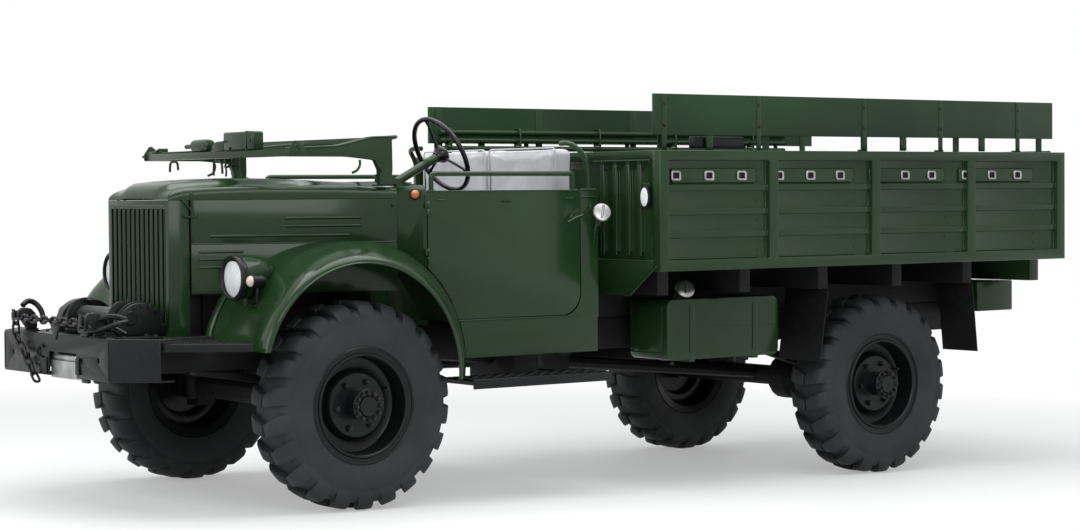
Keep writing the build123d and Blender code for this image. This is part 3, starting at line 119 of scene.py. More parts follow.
def sprayedPaint(name, look):
    # sprayed enamel on sheet steel: the shade drifts a little, dust lies where it faces up,
    # and the sheet is never quite flat
    material, tree = newMaterial(name)
    place = addNode(tree, "ShaderNodeTexCoord").outputs["Object"]
    facing = addNode(tree, "ShaderNodeNewGeometry").outputs["Normal"]
    up = addNode(tree, "ShaderNodeSeparateXYZ", {0: facing}).outputs[2]
    drift = addNode(tree, "ShaderNodeTexNoise", {"Vector": place, "Scale": 1 / look["drift"],
                                                 "Detail": 4.0}).outputs[0]
    speckle = addNode(tree, "ShaderNodeTexNoise", {"Vector": place, "Scale": 1 / look["grain"], "Detail": 6.0,
                                                   "Roughness": 0.7}).outputs[0]
    shade = addNode(tree, "ShaderNodeMapRange", {"Value": drift, "From Min": 0.35,
                                                 "From Max": 0.65}).outputs[0]
    base = addNode(tree, "ShaderNodeMix", {0: shade, 6: hexColour(look["dark"]), 7: hexColour(look["light"])},
                   data_type="RGBA").outputs[2]
    lying = addNode(tree, "ShaderNodeMapRange", {"Value": up, "From Min": -0.2, "From Max": 0.9,
                                                 "To Min": look["dustSide"],
                                                 "To Max": look["dustTop"]}).outputs[0]
    patchy = addNode(tree, "ShaderNodeMapRange", {"Value": speckle, "From Min": 0.35,
                                                  "From Max": 0.7}).outputs[0]
    dusty = addNode(tree, "ShaderNodeMath", {0: lying, 1: patchy}, operation="MULTIPLY").outputs[0]
    coated = addNode(tree, "ShaderNodeMix", {0: dusty, 6: base, 7: hexColour(look["dust"])},
                     data_type="RGBA").outputs[2]
    wave = addNode(tree, "ShaderNodeTexNoise", {"Vector": place, "Scale": 1 / look["wave"],
                                                "Detail": 1.0}).outputs[0]
    peel = addNode(tree, "ShaderNodeTexNoise", {"Vector": place, "Scale": 1 / look["peel"],
                                                "Detail": 2.0}).outputs[0]
    waveBump = addNode(tree, "ShaderNodeBump", {"Height": wave, "Strength": look["waveStrength"],
                                                "Distance": 0.004})
    peelBump = addNode(tree, "ShaderNodeBump", {"Height": peel, "Strength": look["peelStrength"],
                                                "Distance": 0.0006,
                                                "Normal": waveBump.outputs[0]})
    gloss = addNode(tree, "ShaderNodeMapRange", {"Value": speckle, "From Min": 0.3, "From Max": 0.7,
                                                 "To Min": look["gloss"][0],
                                                 "To Max": look["gloss"][1]}).outputs[0]
    shader = addNode(tree, "ShaderNodeBsdfPrincipled", {
        "Base Color": coated, "Roughness": gloss, "Normal": peelBump.outputs[0], "Coat Weight": look["coat"],
        "Coat Roughness": 0.1, "Specular IOR Level": look["mirror"]})
    addNode(tree, "ShaderNodeOutputMaterial", {"Surface": shader.outputs[0]})
    return material


def plainSubstance(name, look):
    # one even substance with a fine grain in colour, gloss and height
    material, tree = newMaterial(name)
    place = addNode(tree, "ShaderNodeTexCoord").outputs["Object"]
    grain = addNode(tree, "ShaderNodeTexNoise", {"Vector": place, "Scale": 1 / look["grain"], "Detail": 6.0,
                                                 "Roughness": 0.7}).outputs[0]
    drift = addNode(tree, "ShaderNodeTexNoise", {"Vector": place, "Scale": 1 / look["drift"],
                                                 "Detail": 4.0}).outputs[0]
    shade = addNode(tree, "ShaderNodeMapRange", {"Value": drift, "From Min": 0.35,
                                                 "From Max": 0.65}).outputs[0]
    base = addNode(tree, "ShaderNodeMix", {0: shade, 6: hexColour(look["dark"]), 7: hexColour(look["light"])},
                   data_type="RGBA").outputs[2]
    relief = addNode(tree, "ShaderNodeBump", {"Height": grain, "Strength": look["bump"],
                                              "Distance": 0.001}).outputs[0]
    gloss = addNode(tree, "ShaderNodeMapRange", {"Value": grain, "From Min": 0.3, "From Max": 0.7,
                                                 "To Min": look["gloss"][0],
                                                 "To Max": look["gloss"][1]}).outputs[0]
    shader = addNode(tree, "ShaderNodeBsdfPrincipled", {"Base Color": base, "Roughness": gloss,
                                                        "Normal": relief,
                                                        "Metallic": look["metal"],
                                                        "Specular IOR Level": 0.35})
    addNode(tree, "ShaderNodeOutputMaterial", {"Surface": shader.outputs[0]})
    return material


# gloss vehicle enamel, sprayed: deep green that mirrors the sky in a soft band
greenLook = {"dark": "#193017", "light": "#213b1f", "dust": "#5d6858", "drift": 0.9, "grain": 0.03,
             "wave": 0.35,
             "peel": 0.004, "waveStrength": 0.25, "peelStrength": 0.08, "dustSide": 0.01, "dustTop": 0.035,
             "gloss": (0.16, 0.24), "coat": 0.14, "mirror": 0.2}
greenEnamel = sprayedPaint("greenEnamel", greenLook)
# the same works in black: bumper, wheels, winch
blackEnamel = sprayedPaint("blackEnamel", dict(greenLook, dark="#0a0b0d", light="#121416", dust="#55554f",
                                               dustTop=0.06,
                                               dustSide=0.04, gloss=(0.28, 0.45), coat=0.05))
# brushed chassis black under road dust: no shine left
chassisBlack = sprayedPaint("chassisBlack", dict(greenLook, dark="#08090a", light="#0f1011", dust="#3a3833",
                                                 dustTop=0.3,
                                                 dustSide=0.1, gloss=(0.5, 0.75), coat=0.0))
# planks brushed with the same green: flatter gloss, the grain shows as long ripples
paintedBoard = sprayedPaint("paintedBoard", dict(greenLook, dark="#1a301b", light="#233c25", wave=0.12,
                                                 gloss=(0.3, 0.45),
                                                 coat=0.0))
# moulded rubber: grey bloom, matt
tyreRubber = plainSubstance("tyreRubber", {"dark": "#1c1d1f", "light": "#2a2b2d", "grain": 0.004,
                                           "drift": 0.25,
                                           "bump": 0.3, "gloss": (0.55, 0.8), "metal": 0.0})
# zinc plated and bare steel: bolts, latches, roller
bareSteel = plainSubstance("bareSteel", {"dark": "#8d8f8e", "light": "#b4b6b4", "grain": 0.004, "drift": 0.1,
                                         "bump": 0.2, "gloss": (0.25, 0.45), "metal": 1.0})
# steel handled and oiled: nearly black with bright rubbed spots
oiledSteel = plainSubstance("oiledSteel", {"dark": "#1b1b1c", "light": "#3b3b3c", "grain": 0.008,
                                           "drift": 0.03,
                                           "bump": 0.4, "gloss": (0.25, 0.5), "metal": 0.6})
forgedChain = plainSubstance("forgedChain", {"dark": "#101011", "light": "#26262a", "grain": 0.006,
                                             "drift": 0.05,
                                             "bump": 0.4, "gloss": (0.25, 0.5), "metal": 0.4})
seatCloth = plainSubstance("seatCloth", {"dark": "#b2b3b6", "light": "#c6c7ca", "grain": 0.003, "drift": 0.15,
                                         "bump": 0.4, "gloss": (0.8, 0.95), "metal": 0.0})
# moulded phenolic: black, mirror-bright on its rim
blackBakelite = plainSubstance("blackBakelite", {"dark": "#0b0c0d", "light": "#131415", "grain": 0.01,
                                                 "drift": 0.1,
                                                 "bump": 0.02, "gloss": (0.15, 0.28), "metal": 0.0})

clearGlass, glassTree = newMaterial("clearGlass")
glassShader = addNode(glassTree, "ShaderNodeBsdfPrincipled",
                      {"Base Color": hexColour("#dfe8e4"), "Roughness": 0.03,
                                                              "IOR": 1.5, "Transmission Weight": 1.0})
addNode(glassTree, "ShaderNodeOutputMaterial", {"Surface": glassShader.outputs[0]})
# fluted lamp glass over a bright reflector, drawn as an even near-white opaque disc: the reflector's reflection is
# painted into the glass's colour, a painted reflection
lampGlassPaintedReflection = plainSubstance("lampGlassPaintedReflection", {"dark": "#dfe3e2", "light": "#eef1f0", "grain": 0.01, "drift": 0.05,
                                         "bump": 0.3, "gloss": (0.08, 0.16), "metal": 0.0})
amberGlass = plainSubstance("amberGlass", {"dark": "#b0643a", "light": "#c97c4c", "grain": 0.004,
                                           "drift": 0.02,
                                           "bump": 0.2, "gloss": (0.1, 0.2), "metal": 0.0})
opalGlass = plainSubstance("opalGlass", {"dark": "#c9b7a8", "light": "#e2d4c8", "grain": 0.004, "drift": 0.02,
                                         "bump": 0.2, "gloss": (0.1, 0.2), "metal": 0.0})
print("stage: materials made")


def mm(*values):
    return tuple(value / 1000 for value in values)


def chooseOnly(*parts):
    bpy.ops.object.select_all(action="DESELECT")
    for part in parts:
        part.select_set(True)
    bpy.context.view_layer.objects.active = parts[0]


def freshMesh(vertices, fill):
    # a circle whose points are then placed one by one
    bpy.ops.object.select_all(action="DESELECT")
    bpy.ops.mesh.primitive_circle_add(vertices=vertices, fill_type=fill)
    return bpy.context.object


def roundEdges(piece, width, segments=2, angle=28):
    if width:
        chooseOnly(piece)
        bevel = piece.modifiers.new("edge", "BEVEL")
        bevel.width = width / 1000
        bevel.segments = segments
        bevel.limit_method = "ANGLE"
        bevel.angle_limit = math.radians(angle)
        bpy.ops.object.modifier_apply(modifier=bevel.name)
    return piece


def slab(points, plane, low, high, edge=2, segments=2):
    # an outline drawn on a side (x, z), plan (x, y) or front (y, z) view and pulled from low to high across it
    piece = freshMesh(len(points), "NGON")
    for vertex, (across, up) in zip(piece.data.vertices, points):
        vertex.co = {"side": mm(across, low, up), "plan": mm(across, up, low),
                     "front": mm(low, across, up)}[plane]
    pull = {"side": mm(0, high - low, 0), "plan": mm(0, 0, high - low), "front": mm(high - low, 0, 0)}[plane]
    bpy.ops.object.mode_set(mode="EDIT")
    bpy.ops.mesh.select_all(action="SELECT")
    bpy.ops.mesh.extrude_region_move(TRANSFORM_OT_translate={"value": pull})
    bpy.ops.mesh.select_all(action="SELECT")
    bpy.ops.mesh.normals_make_consistent(inside=False)
    bpy.ops.object.mode_set(mode="OBJECT")
    return roundEdges(piece, edge, segments)


def block(x, y, z, edge=2, segments=2):
    bpy.ops.object.select_all(action="DESELECT")
    middle = mm(*((low + high) / 2 for low, high in (x, y, z)))
    bpy.ops.mesh.primitive_cube_add(size=1, location=middle,
                                    scale=mm(*(high - low for low, high in (x, y, z))))
    bpy.ops.object.transform_apply(location=True, rotation=True, scale=True)
    return roundEdges(bpy.context.object, edge, segments)


def lathe(profile, centre=(0, 0, 0), axis=(0, 0, 1), steps=32, closed=False):
    # a profile of (radius, height) pairs spun round an axis; a closed one is a ring's section
    piece = freshMesh(len(profile), "NOTHING")
    for vertex, (radius, height) in zip(piece.data.vertices, profile):
        vertex.co = mm(radius, 0, height)
    for edge in piece.data.edges:
        edge.select = not closed and set(edge.vertices) == {0, len(profile) - 1}
    for vertex in piece.data.vertices:
        vertex.select = False
    bpy.ops.object.mode_set(mode="EDIT")
    if not closed:
        bpy.ops.mesh.select_mode(type="EDGE")
        bpy.ops.mesh.delete(type="EDGE")
        bpy.ops.mesh.select_mode(type="VERT")
    bpy.ops.mesh.select_all(action="SELECT")
    bpy.ops.mesh.spin(steps=steps, angle=2 * math.pi, center=(0, 0, 0), axis=(0, 0, 1))
    bpy.ops.mesh.select_all(action="SELECT")
    bpy.ops.mesh.remove_doubles(threshold=0.00001)
    bpy.ops.mesh.normals_make_consistent(inside=False)
    bpy.ops.object.mode_set(mode="OBJECT")
    piece.matrix_world = Matrix.Translation(mm(*centre)) @ Vector(axis).to_track_quat("Z", "Y").to_matrix().to_4x4()
    chooseOnly(piece)
    bpy.ops.object.transform_apply(location=True, rotation=True, scale=True)
    return piece


def bar(start, end, radius, steps=16, edge=None):
    # a straight round bar with softened ends
    way = Vector(end) - Vector(start)
    edge = min(radius * 0.25, way.length * 0.2) if edge is None else edge
    return lathe([(0, 0), (radius - edge, 0), (radius, edge), (radius, way.length - edge),
                  (radius - edge, way.length),
                  (0, way.length)], start, way, steps)


def tube(points, radius, corner=0, fineness=3, closed=False):
    # a bent bar or wire: a curve through the points, its corners softened, made a mesh
    route = [Vector(point) for point in points]
    if corner:
        bent = [route[0]]
        for before, here, after in zip(route, route[1:], route[2:]):
            back = here + (before - here).normalized() * min(corner, (before - here).length / 2)
            on = here + (after - here).normalized() * min(corner, (after - here).length / 2)
            bent += [back * (1 - t) ** 2 + here * 2 * t * (1 - t) + on * t ** 2 for t in (0, 0.25, 0.5, 0.75,
                                                                                          1)]
        route = bent + [route[-1]]
    curve = bpy.data.curves.new("bar", "CURVE")
    curve.dimensions = "3D"
    curve.bevel_depth = radius / 1000
    curve.bevel_resolution = fineness
    curve.use_fill_caps = not closed
    spline = curve.splines.new("POLY")
    spline.points.add(len(route) - 1)
    spline.use_cyclic_u = closed
    for point, at in zip(spline.points, route):
        point.co = (*mm(*at), 1)
    piece = bpy.data.objects.new("bar", curve)
    bpy.context.collection.objects.link(piece)
    chooseOnly(piece)
    bpy.ops.object.convert(target="MESH")
    piece = bpy.context.object
    bpy.ops.object.mode_set(mode="EDIT")
    bpy.ops.mesh.select_all(action="SELECT")
    bpy.ops.mesh.remove_doubles(threshold=0.00001)
    bpy.ops.mesh.normals_make_consistent(inside=False)
    bpy.ops.object.mode_set(mode="OBJECT")
    return piece


def copied(piece, matrix):
    # another of the same, with its own mesh, moved by a matrix in metres
    chooseOnly(piece)
    bpy.ops.object.duplicate()
    again = bpy.context.object
    again.matrix_world = matrix @ again.matrix_world
    bpy.ops.object.transform_apply(location=True, rotation=True, scale=True)
    return again


def mirrored(piece):
    # the piece and its mirror image on the other side of the truck, in one mesh
    chooseOnly(piece)
    image = piece.modifiers.new("otherSide", "MIRROR")
    image.use_axis = (False, True, False)
    image.use_mirror_merge = False
    bpy.ops.object.modifier_apply(modifier=image.name)
    return piece


def hexHead(centre, axis, across=19, depth=9):
    # a bolt head: six sides, the corners of its face turned off
    radius = across / math.sqrt(3)
    return lathe([(0, 0), (radius, 0), (radius, depth * 0.75), (radius * 0.86, depth), (0, depth)], centre,
                 axis, 6)


def joined(parts):
    chooseOnly(*parts)
    if len(parts) > 1:
        bpy.ops.object.join()
    return bpy.context.object


def finished(piece, name, body, material, replaced=(), smooth=35):
    chooseOnly(piece)
    bpy.ops.object.shade_smooth_by_angle(angle=math.radians(smooth))
    piece.name = piece.data.name = name
    piece.data.materials.clear()
    piece.data.materials.append(material)
    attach(piece, body)
    if replaced:
        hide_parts(*replaced)
    return piece


def setDown(parts, name, body, material, replaced=(), smooth=35):
    # level parts become one piece in the truck's real stance
    piece = joined(parts)
    piece.matrix_world = stance @ piece.matrix_world
    bpy.ops.object.transform_apply(location=True, rotation=True, scale=True)
    return finished(piece, name, body, material, replaced, smooth)

# tyres: a carcass spun once, and one lug copied round both shoulders
tyre = {"section": ((97, 240), (104, 262), (117, 290), (127, 325), (131, 352), (131.5, 384), (129.5, 388),
                    (129.5, 391),
                    (131, 395), (128, 414), (119, 432), (100, 443), (60, 447), (0, 449)),
        "lug": ((7, 440), (7, 477), (12, 480), (60, 480), (96, 475), (119, 456), (129, 432), (131.5, 408),
                (128, 396),
                (100, 430)),
        "lugCount": 22, "tip": (0.02, 0.42), "root": (-0.40, 0.28), "reach": 131, "edge": 5}
carcass = lathe([(radius, half) for half, radius in tyre["section"]]
                + [(radius, -half) for half, radius in reversed(tyre["section"][:-1])],
                axis=(0, 1, 0), steps=88, closed=True)

# a lug: its section pulled across in two steps, then slanted and laid round the tyre
lug = freshMesh(len(tyre["lug"]), "NGON")
for vertex, (half, radius) in zip(lug.data.vertices, tyre["lug"]):
    vertex.co = mm(0, half, radius)
bpy.ops.object.mode_set(mode="EDIT")
bpy.ops.mesh.select_all(action="SELECT")
for step in (0, 1):
    bpy.ops.mesh.extrude_region_move(TRANSFORM_OT_translate={"value": (0.5, 0, 0)})
bpy.ops.mesh.select_all(action="SELECT")
bpy.ops.mesh.normals_make_consistent(inside=False)
bpy.ops.object.mode_set(mode="OBJECT")
pitchAngle = 2 * math.pi / tyre["lugCount"]
for vertex in lug.data.vertices:
    across, half, radius = vertex.co
    outward = half * 1000 / tyre["reach"]
    low, high = (tip + (root - tip) * outward for tip, root in zip(tyre["tip"], tyre["root"]))
    angle = pitchAngle * (low + (high - low) * across)
    vertex.co = (radius * math.sin(angle), half, radius * math.cos(angle))
roundEdges(lug, tyre["edge"], 2, 35)
otherLug = copied(lug, Matrix.Scale(-1, 4, (0, 1, 0)))
bpy.ops.object.mode_set(mode="EDIT")
bpy.ops.mesh.select_all(action="SELECT")
bpy.ops.mesh.normals_make_consistent(inside=False)
bpy.ops.object.mode_set(mode="OBJECT")
lugPair = joined([lug, otherLug])
lugs = [lugPair] + [copied(lugPair, Matrix.Rotation(pitchAngle * k, 4,
                                                    "Y")) for k in range(1, tyre["lugCount"])]
firstTyre = joined([carcass] + lugs)

# wheel: pressed rim and disc, a studded hub that stands out past the tyre
wheel = {"rim": ((-109, 262), (-112, 267), (-107, 270), (-99, 262), (-97, 237), (96, 237), (97, 262),
                 (102, 271),
                 (109, 272), (113, 267), (110, 262), (105, 261), (103, 252), (103, 244), (108, 242),
                 (112, 238),
                 (112, 231), (107, 226), (60, 225), (-60, 214), (-97, 226), (-104, 240)),
         "disc": ((226, 20), (222, 8), (214, 2), (180, -2), (168, 2), (160, 14), (156, 34), (153, 44),
                  (146, 50),
                  (60, 52), (60, 44), (143, 42), (148, 30), (152, 8), (162, -7), (180, -12), (216, -8),
                  (226, 0)),
         "hub": ((0, -40), (66, -40), (66, 50), (62, 56), (60, 118), (66, 124), (76, 127), (79, 131),
                 (79, 140),
                 (76, 143), (50, 143), (47, 139), (47, 147), (44, 151), (0, 151)),
         "nuts": 6, "nutRing": 114, "nutFace": 50, "studs": 12, "studRing": 63, "studFace": 143,
         "valve": (-154, 76, 72)}
rim = lathe([(radius, half) for half, radius in wheel["rim"]], axis=(0, 1, 0), steps=64, closed=True)
disc = lathe(wheel["disc"], axis=(0, 1, 0), steps=64, closed=True)
hub = lathe(wheel["hub"], axis=(0, 1, 0), steps=48)
firstWheel = joined([rim, disc, hub])
brightParts = []
for k in range(wheel["nuts"]):
    angle = math.radians(55 + 360 / wheel["nuts"] * k)
    at = (wheel["nutRing"] * math.cos(angle), wheel["nutFace"], wheel["nutRing"] * math.sin(angle))
    brightParts.append(hexHead(at, (0, 1, 0), 27, 18))
    brightParts.append(bar(at, (at[0], at[1] + 26, at[2]), 8, 12))
for k in range(wheel["studs"]):
    angle = math.radians(360 / wheel["studs"] * k)
    at = (wheel["studRing"] * math.cos(angle), wheel["studFace"], wheel["studRing"] * math.sin(angle))
    brightParts.append(hexHead(at, (0, 1, 0), 19, 12))
    brightParts.append(bar(at, (at[0], at[1] + 17, at[2]), 5, 8))
brightParts.append(tube([(wheel["valve"][0], 10, wheel["valve"][2]), wheel["valve"]], 6))
firstNuts = joined(brightParts)

cornerPlaces = {
    "front_left": (0, stand["trackFront"] / 2, stand["wheelRadius"], 0),
    "front_right": (0, -stand["trackFront"] / 2, stand["wheelRadius"], 180),
    "rear_left": (rearAxleX, stand["trackRear"] / 2, rearAxleZ, 0),
    "rear_right": (rearAxleX, -stand["trackRear"] / 2, rearAxleZ, 180),
}
for corner, (x, y, z, turned) in cornerPlaces.items():
    place = Matrix.Translation(mm(x, y, z)) @ Matrix.Rotation(math.radians(turned), 4, "Z")
    setDown([copied(firstTyre, place)], "luggedTyre_" + corner, "wheel_" + corner, tyreRubber,
            ["tyre_" + corner])
    setDown([copied(firstWheel, place)], "pressedWheel_" + corner, "wheel_" + corner, blackEnamel,
            ["wheel_" + corner])
    setDown([copied(firstNuts, place)], "wheelNuts_" + corner, "wheel_" + corner, oiledSteel)
for master in (firstTyre, firstWheel, firstNuts):
    bpy.data.objects.remove(master)
print("stage: wheels and tyres")


def skin(rows, wall, inside, edge=0):
    # sheet metal over rows of points: a grid laid on them, faced away from a point inside, then given its thickness
    across, along = len(rows[0]), len(rows)
    bpy.ops.object.select_all(action="DESELECT")
    bpy.ops.mesh.primitive_grid_add(x_subdivisions=across - 1, y_subdivisions=along - 1)
    piece = bpy.context.object
    for k, vertex in enumerate(piece.data.vertices):
        vertex.co = mm(*rows[k // across][k % across])
    bpy.ops.object.mode_set(mode="EDIT")
    bpy.ops.mesh.select_all(action="SELECT")
    bpy.ops.mesh.remove_doubles(threshold=0.00001)
    bpy.ops.mesh.normals_make_consistent(inside=False)
    bpy.ops.object.mode_set(mode="OBJECT")
    outward = sum(face.area * face.normal.dot(face.center - Vector(mm(*inside))) for face in piece.data.polygons)
    if outward < 0:
        bpy.ops.object.mode_set(mode="EDIT")
        bpy.ops.mesh.select_all(action="SELECT")
        bpy.ops.mesh.flip_normals()
        bpy.ops.object.mode_set(mode="OBJECT")
    thick = piece.modifiers.new("wall", "SOLIDIFY")
    thick.thickness = wall / 1000
    thick.offset = -1
    thick.use_even_offset = True
    bpy.ops.object.modifier_apply(modifier=thick.name)
    return roundEdges(piece, edge, 2, 50)


def bead(start, end, radius):
    # a pressed rib with round ends, half sunk in its panel
    return bar(start, end, radius, 16, radius * 0.9)


# bonnet: shoulders and a raised middle between the grille and the cowl, its nose rolled down
bonnetLook = {"seam": 1425.5, "wall": 4, "edge": 26,
              "stations": ((669, 303, 3, 8, 140), (667, 304, 16, 24, 150), (656, 307, 29, 46, 165),
                           (632, 312, 41, 66, 185),
                           (590, 322, 51, 83, 212), (480, 360, 58, 93, 235), (360, 406, 62, 100, 254),
                           (240, 452, 64, 103, 270), (75, 516, 63, 101, 290), (-90, 580, 60, 93, 310),
                           (-215, 628, 56, 86, 326), (-339, 675.5, 52, 78, 340))}
bonnetRows = []
for x, half, shoulder, crown, flat in bonnetLook["stations"]:
    edge = min(bonnetLook["edge"], shoulder * 0.8)
    rise = crown - shoulder
    section = [(half, 0), (half, (shoulder - edge) * 0.6), (half, shoulder - edge)]
    section += [(half - edge * (1 - math.cos(a)), shoulder - edge * (1 - math.sin(a))) for a in (0.4, 0.8,
                                                                                                 1.2, 1.571)]
    section += [(half - edge - (half - edge - flat - 55) * t,
                 shoulder - 2 * math.sin(math.pi * t)) for t in (0.35, 0.7, 1)]
    section += [(flat + 55 - 85 * t, shoulder + rise * (0.5 - 0.5 * math.cos(math.pi * t)) * 0.9)
                for t in (0.2, 0.4, 0.6, 0.8, 1)]
    section += [(flat * 0.55, crown - rise * 0.035), (flat * 0.25, crown - rise * 0.008), (0, crown)]
    section += [(-y, z) for y, z in reversed(section[:-1])]
    bonnetRows.append([(x, y, bonnetLook["seam"] + z) for y, z in section])
bonnet = skin(bonnetRows, bonnetLook["wall"], (200, 0, 1300))
setDown([bonnet], "bonnetLid", "chassis", greenEnamel, ["bonnet"], 40)

# front fenders: one arch swept into another, wide top rolled over to a beaded edge
fender = {"outer": (34, 618, 555), "inner": (-60, 640, 590), "outerY": 975, "waistY": 780, "foot": 579,
          "nose": 750,
          "shoulder": 30, "shoulderWidth": 130, "wall": 4, "steps": 48,
          "lip": ((975, -33), (979.5, -36), (980, -39.5), (976, -42), (968, -42.5), (948, -42.5))}
panelFront, panelRear, cowlRear = (569, 325), (-340, 676), (-436, 780)


def innerEdge(x, z):
    # where the fender meets the bonnet side, the cowl, and behind that the door's plane
    if x > panelRear[0]:
        y = panelFront[1] + (panelFront[0] - min(x, panelFront[0])) * (panelRear[1] - panelFront[1]) / (
            panelFront[0] - panelRear[0])
    else:
        y = panelRear[1] + (panelRear[0] - max(x, cowlRear[0])) * (cowlRear[1] + 7 - panelRear[1]) / (
            panelRear[0] - cowlRear[0])
    return max(y + 1, 438 if x > 0 and z < 812 else 0)


fenderRows = []
for step in range(fender["steps"] + 1):
    share = step / fender["steps"]
    row = []
    for kind, value in ([("in", t) for t in (0, 0.2, 0.4, 0.6, 0.8, 1)] + [("top", t) for t in (0.2, 0.4, 0.6,
                                                                                                0.75, 0.87,
                                                                                                0.95, 1)]
                        + [("lip", t) for t in fender["lip"]]):
        y, drop = value if kind == "lip" else (fender["waistY"], 0)
        if kind == "top":
            y = fender["waistY"] + (fender["outerY"] - fender["waistY"]) * value
            g = max(0, (y - fender["outerY"] + fender["shoulderWidth"]) / fender["shoulderWidth"])
            drop = -fender["shoulder"] * (1 - math.sqrt(1 - min(g, 1) ** 2))
        for again in range(4):
            blend = min(1, max(0, (y - fender["waistY"]) / (fender["outerY"] - fender["waistY"])))
            centreX, centreZ, radius = (a + (b - a) * blend for a, b in zip(fender["inner"], fender["outer"]))
            radius += drop
            first = math.asin((fender["nose"] - centreZ) / radius)
            last = math.pi - math.asin((fender["foot"] - centreZ) / radius)
            angle = first + (last - first) * share
            x, z = centreX + radius * math.cos(angle), centreZ + radius * math.sin(angle)
            if kind == "in":
                low = min(innerEdge(x, z), fender["outerY"] - 160)
                y = low + (max(fender["waistY"], low + 8) - low) * value
        row.append((x, y, z))
    fenderRows.append(row)
fenderShell = mirrored(skin(fenderRows, fender["wall"], (0, 700, 700)))
fenderTrim = []
strapPoints = [(-60 + 597 * math.cos(a), 640 + 597 * math.sin(a)) for a in (0.20, 0.32, 0.44, 0.56, 0.68,
                                                                            0.80, 0.92)]
apron = skin([[(x, 352 + 1.6 * k, z), (x + 5, 362 + 1.6 * k, z + 5), (x + 6, 378 + 1.6 * k, z + 5),
               (x + 5, 394 + 1.6 * k, z + 5),
               (x, 404 + 1.6 * k, z)] for k, (x, z) in enumerate(strapPoints)], 3, (0, 380, 600))
fenderTrim.append(mirrored(apron))
setDown([fenderShell] + fenderTrim, "frontFenders", "chassis", greenEnamel, ["fenders"], 45)

# bonnet sides: flat panels with the pressed ribs, turn handles and bolts of the real one
sideLook = {"ribs": ((163, -182, 1338, 8), (163, -181, 1301, 8), (489, -128, 1257, 8), (537, 339, 1184, 7),
                     (537, 421, 1150, 7), (537, 421, 1113, 7)),
            "bolts": ((562, 1246), (562, 1029), (-322, 1394), (-322, 1150))}


def panelY(x):
    return panelFront[1] + (panelFront[0] - x) * (panelRear[1] - panelFront[1]) / (panelFront[0] - panelRear[0])


sideParts = []
for low, high in ((990, 1221.4), (1222.6, 1424.4)):
    sideParts.append(slab([(566, panelY(566)), (-339, panelY(-339)), (-339, panelY(-339) - 6),
                           (566, panelY(566) - 6)],
                          "plan", low, high, 1.5))
for start, end, z, radius in sideLook["ribs"]:
    sideParts.append(bead((start, panelY(start) - 1, z), (end, panelY(end) - 1, z), radius))
sideParts.append(bead((560, panelY(560) - 2, 1222), (-335, panelY(-335) - 2, 1222), 4))
setDown([mirrored(joined(sideParts))], "bonnetSidePanels", "chassis", greenEnamel, ["bonnet_sides"])

handleParts = [
    tube([(566, 331, 1452), (566, 336, 1440), (560, 340, 1350)], 5),
    tube([(606, 322, 1352), (558, 341, 1344), (540, 346, 1362)], 5, 10),
    tube([(612, 318, 1432), (592, 326, 1408)], 5),
    tube([(602, 324, 1420), (578, 334, 1392), (562, 338, 1362)], 4, 12),
    lathe([(0, 0), (8, 0), (9, 4), (5, 9), (0, 10)], (566, 326, 1452), (0, 0.4, 1), 16),
]
setDown([mirrored(joined(handleParts))], "bonnetCatches", "chassis", greenEnamel)
sideBolts = [hexHead((x, panelY(x), z), (0.36, 0.93, 0), 16, 8) for x, z in sideLook["bolts"]]
sideBolts.append(hexHead((478, 380, 898), (0.75, 0.1, 0.5), 22, 12))
setDown([mirrored(joined(sideBolts))], "bonnetBolts", "chassis", oiledSteel)
print("stage: bonnet and fenders")

# radiator grille: the shell's slots, each pressed edge standing proud as a bead
grille = {"count": 12, "pitch": 46, "slot": 22, "z": (843, 1387), "face": 670, "bead": 3.5}
dressedGrille = []
for k in range(grille["count"]):
    middle = (k - (grille["count"] - 1) / 2) * grille["pitch"]
    for across in (-1, 1):
        y = middle + across * (grille["slot"] / 2 + 2)
        dressedGrille.append(bead((grille["face"], y, grille["z"][0]), (grille["face"], y, grille["z"][1]),
                                  grille["bead"]))
for k in range(grille["count"] - 1):
    y = (k - (grille["count"] - 2) / 2) * grille["pitch"]
    dressedGrille.append(bead((grille["face"] - 3, y, grille["z"][0] + 4),
                              (grille["face"] - 3, y, grille["z"][1] - 4), 7))
for z in (grille["z"][0] - 12, grille["z"][1] + 12):
    dressedGrille.append(bead((grille["face"] - 2, -278, z), (grille["face"] - 2, 278, z), 5))
setDown(dressedGrille, "grilleBeads", "chassis", greenEnamel)

# headlamps: black rim, domed glass, a bucket drawn out to a tail that runs into the fender
lamp = {"centre": (506, 594, 1070), "rim": ((86, -30), (103, -30), (105, -24), (105, -4), (102, 3), (95, 6),
                                            (89, 4),
                                              (86, -2)),
        "bucket": ((0, 0), (99, 0), (101, 12), (98, 40), (90, 76), (78, 110), (62, 142), (44, 170), (24, 190),
                   (8, 201),
                   (0, 203)),
        "glass": ((0, 0), (87, 0), (87, 5), (72, 12), (44, 17), (16, 19), (0, 19.5))}
x, y, z = lamp["centre"]
bucket = lathe(lamp["bucket"], (x - 24, y, z), (-193, 0, 50), 48)
foot = tube([(x - 66, y, z - 60), (x - 80, y, z - 190)], 17, 0, 4)
setDown([mirrored(joined([bucket, foot]))], "headlampBuckets", "chassis", greenEnamel, ["headlamps"], 50)
rim = lathe(lamp["rim"], lamp["centre"], (1, 0, 0), 64, closed=True)
sideLampBody = lathe([(0, 0), (22, 0), (28, 8), (30, 20), (30, 66), (27, 70), (0, 70)], (402, 706, 1054),
                     (1, 0, 0.05), 32)
sideLampFoot = tube([(436, 706, 1030), (440, 706, 1004), (436, 700, 958)], 8, 12)
sideLampPad = lathe([(0, 0), (24, 0), (24, 5), (18, 9), (0, 9)], (436, 700, 952), (0.5, 0.1, 0.86), 24)
setDown([mirrored(joined([rim, sideLampBody, sideLampFoot, sideLampPad]))], "lampRims", "chassis",
        blackEnamel)
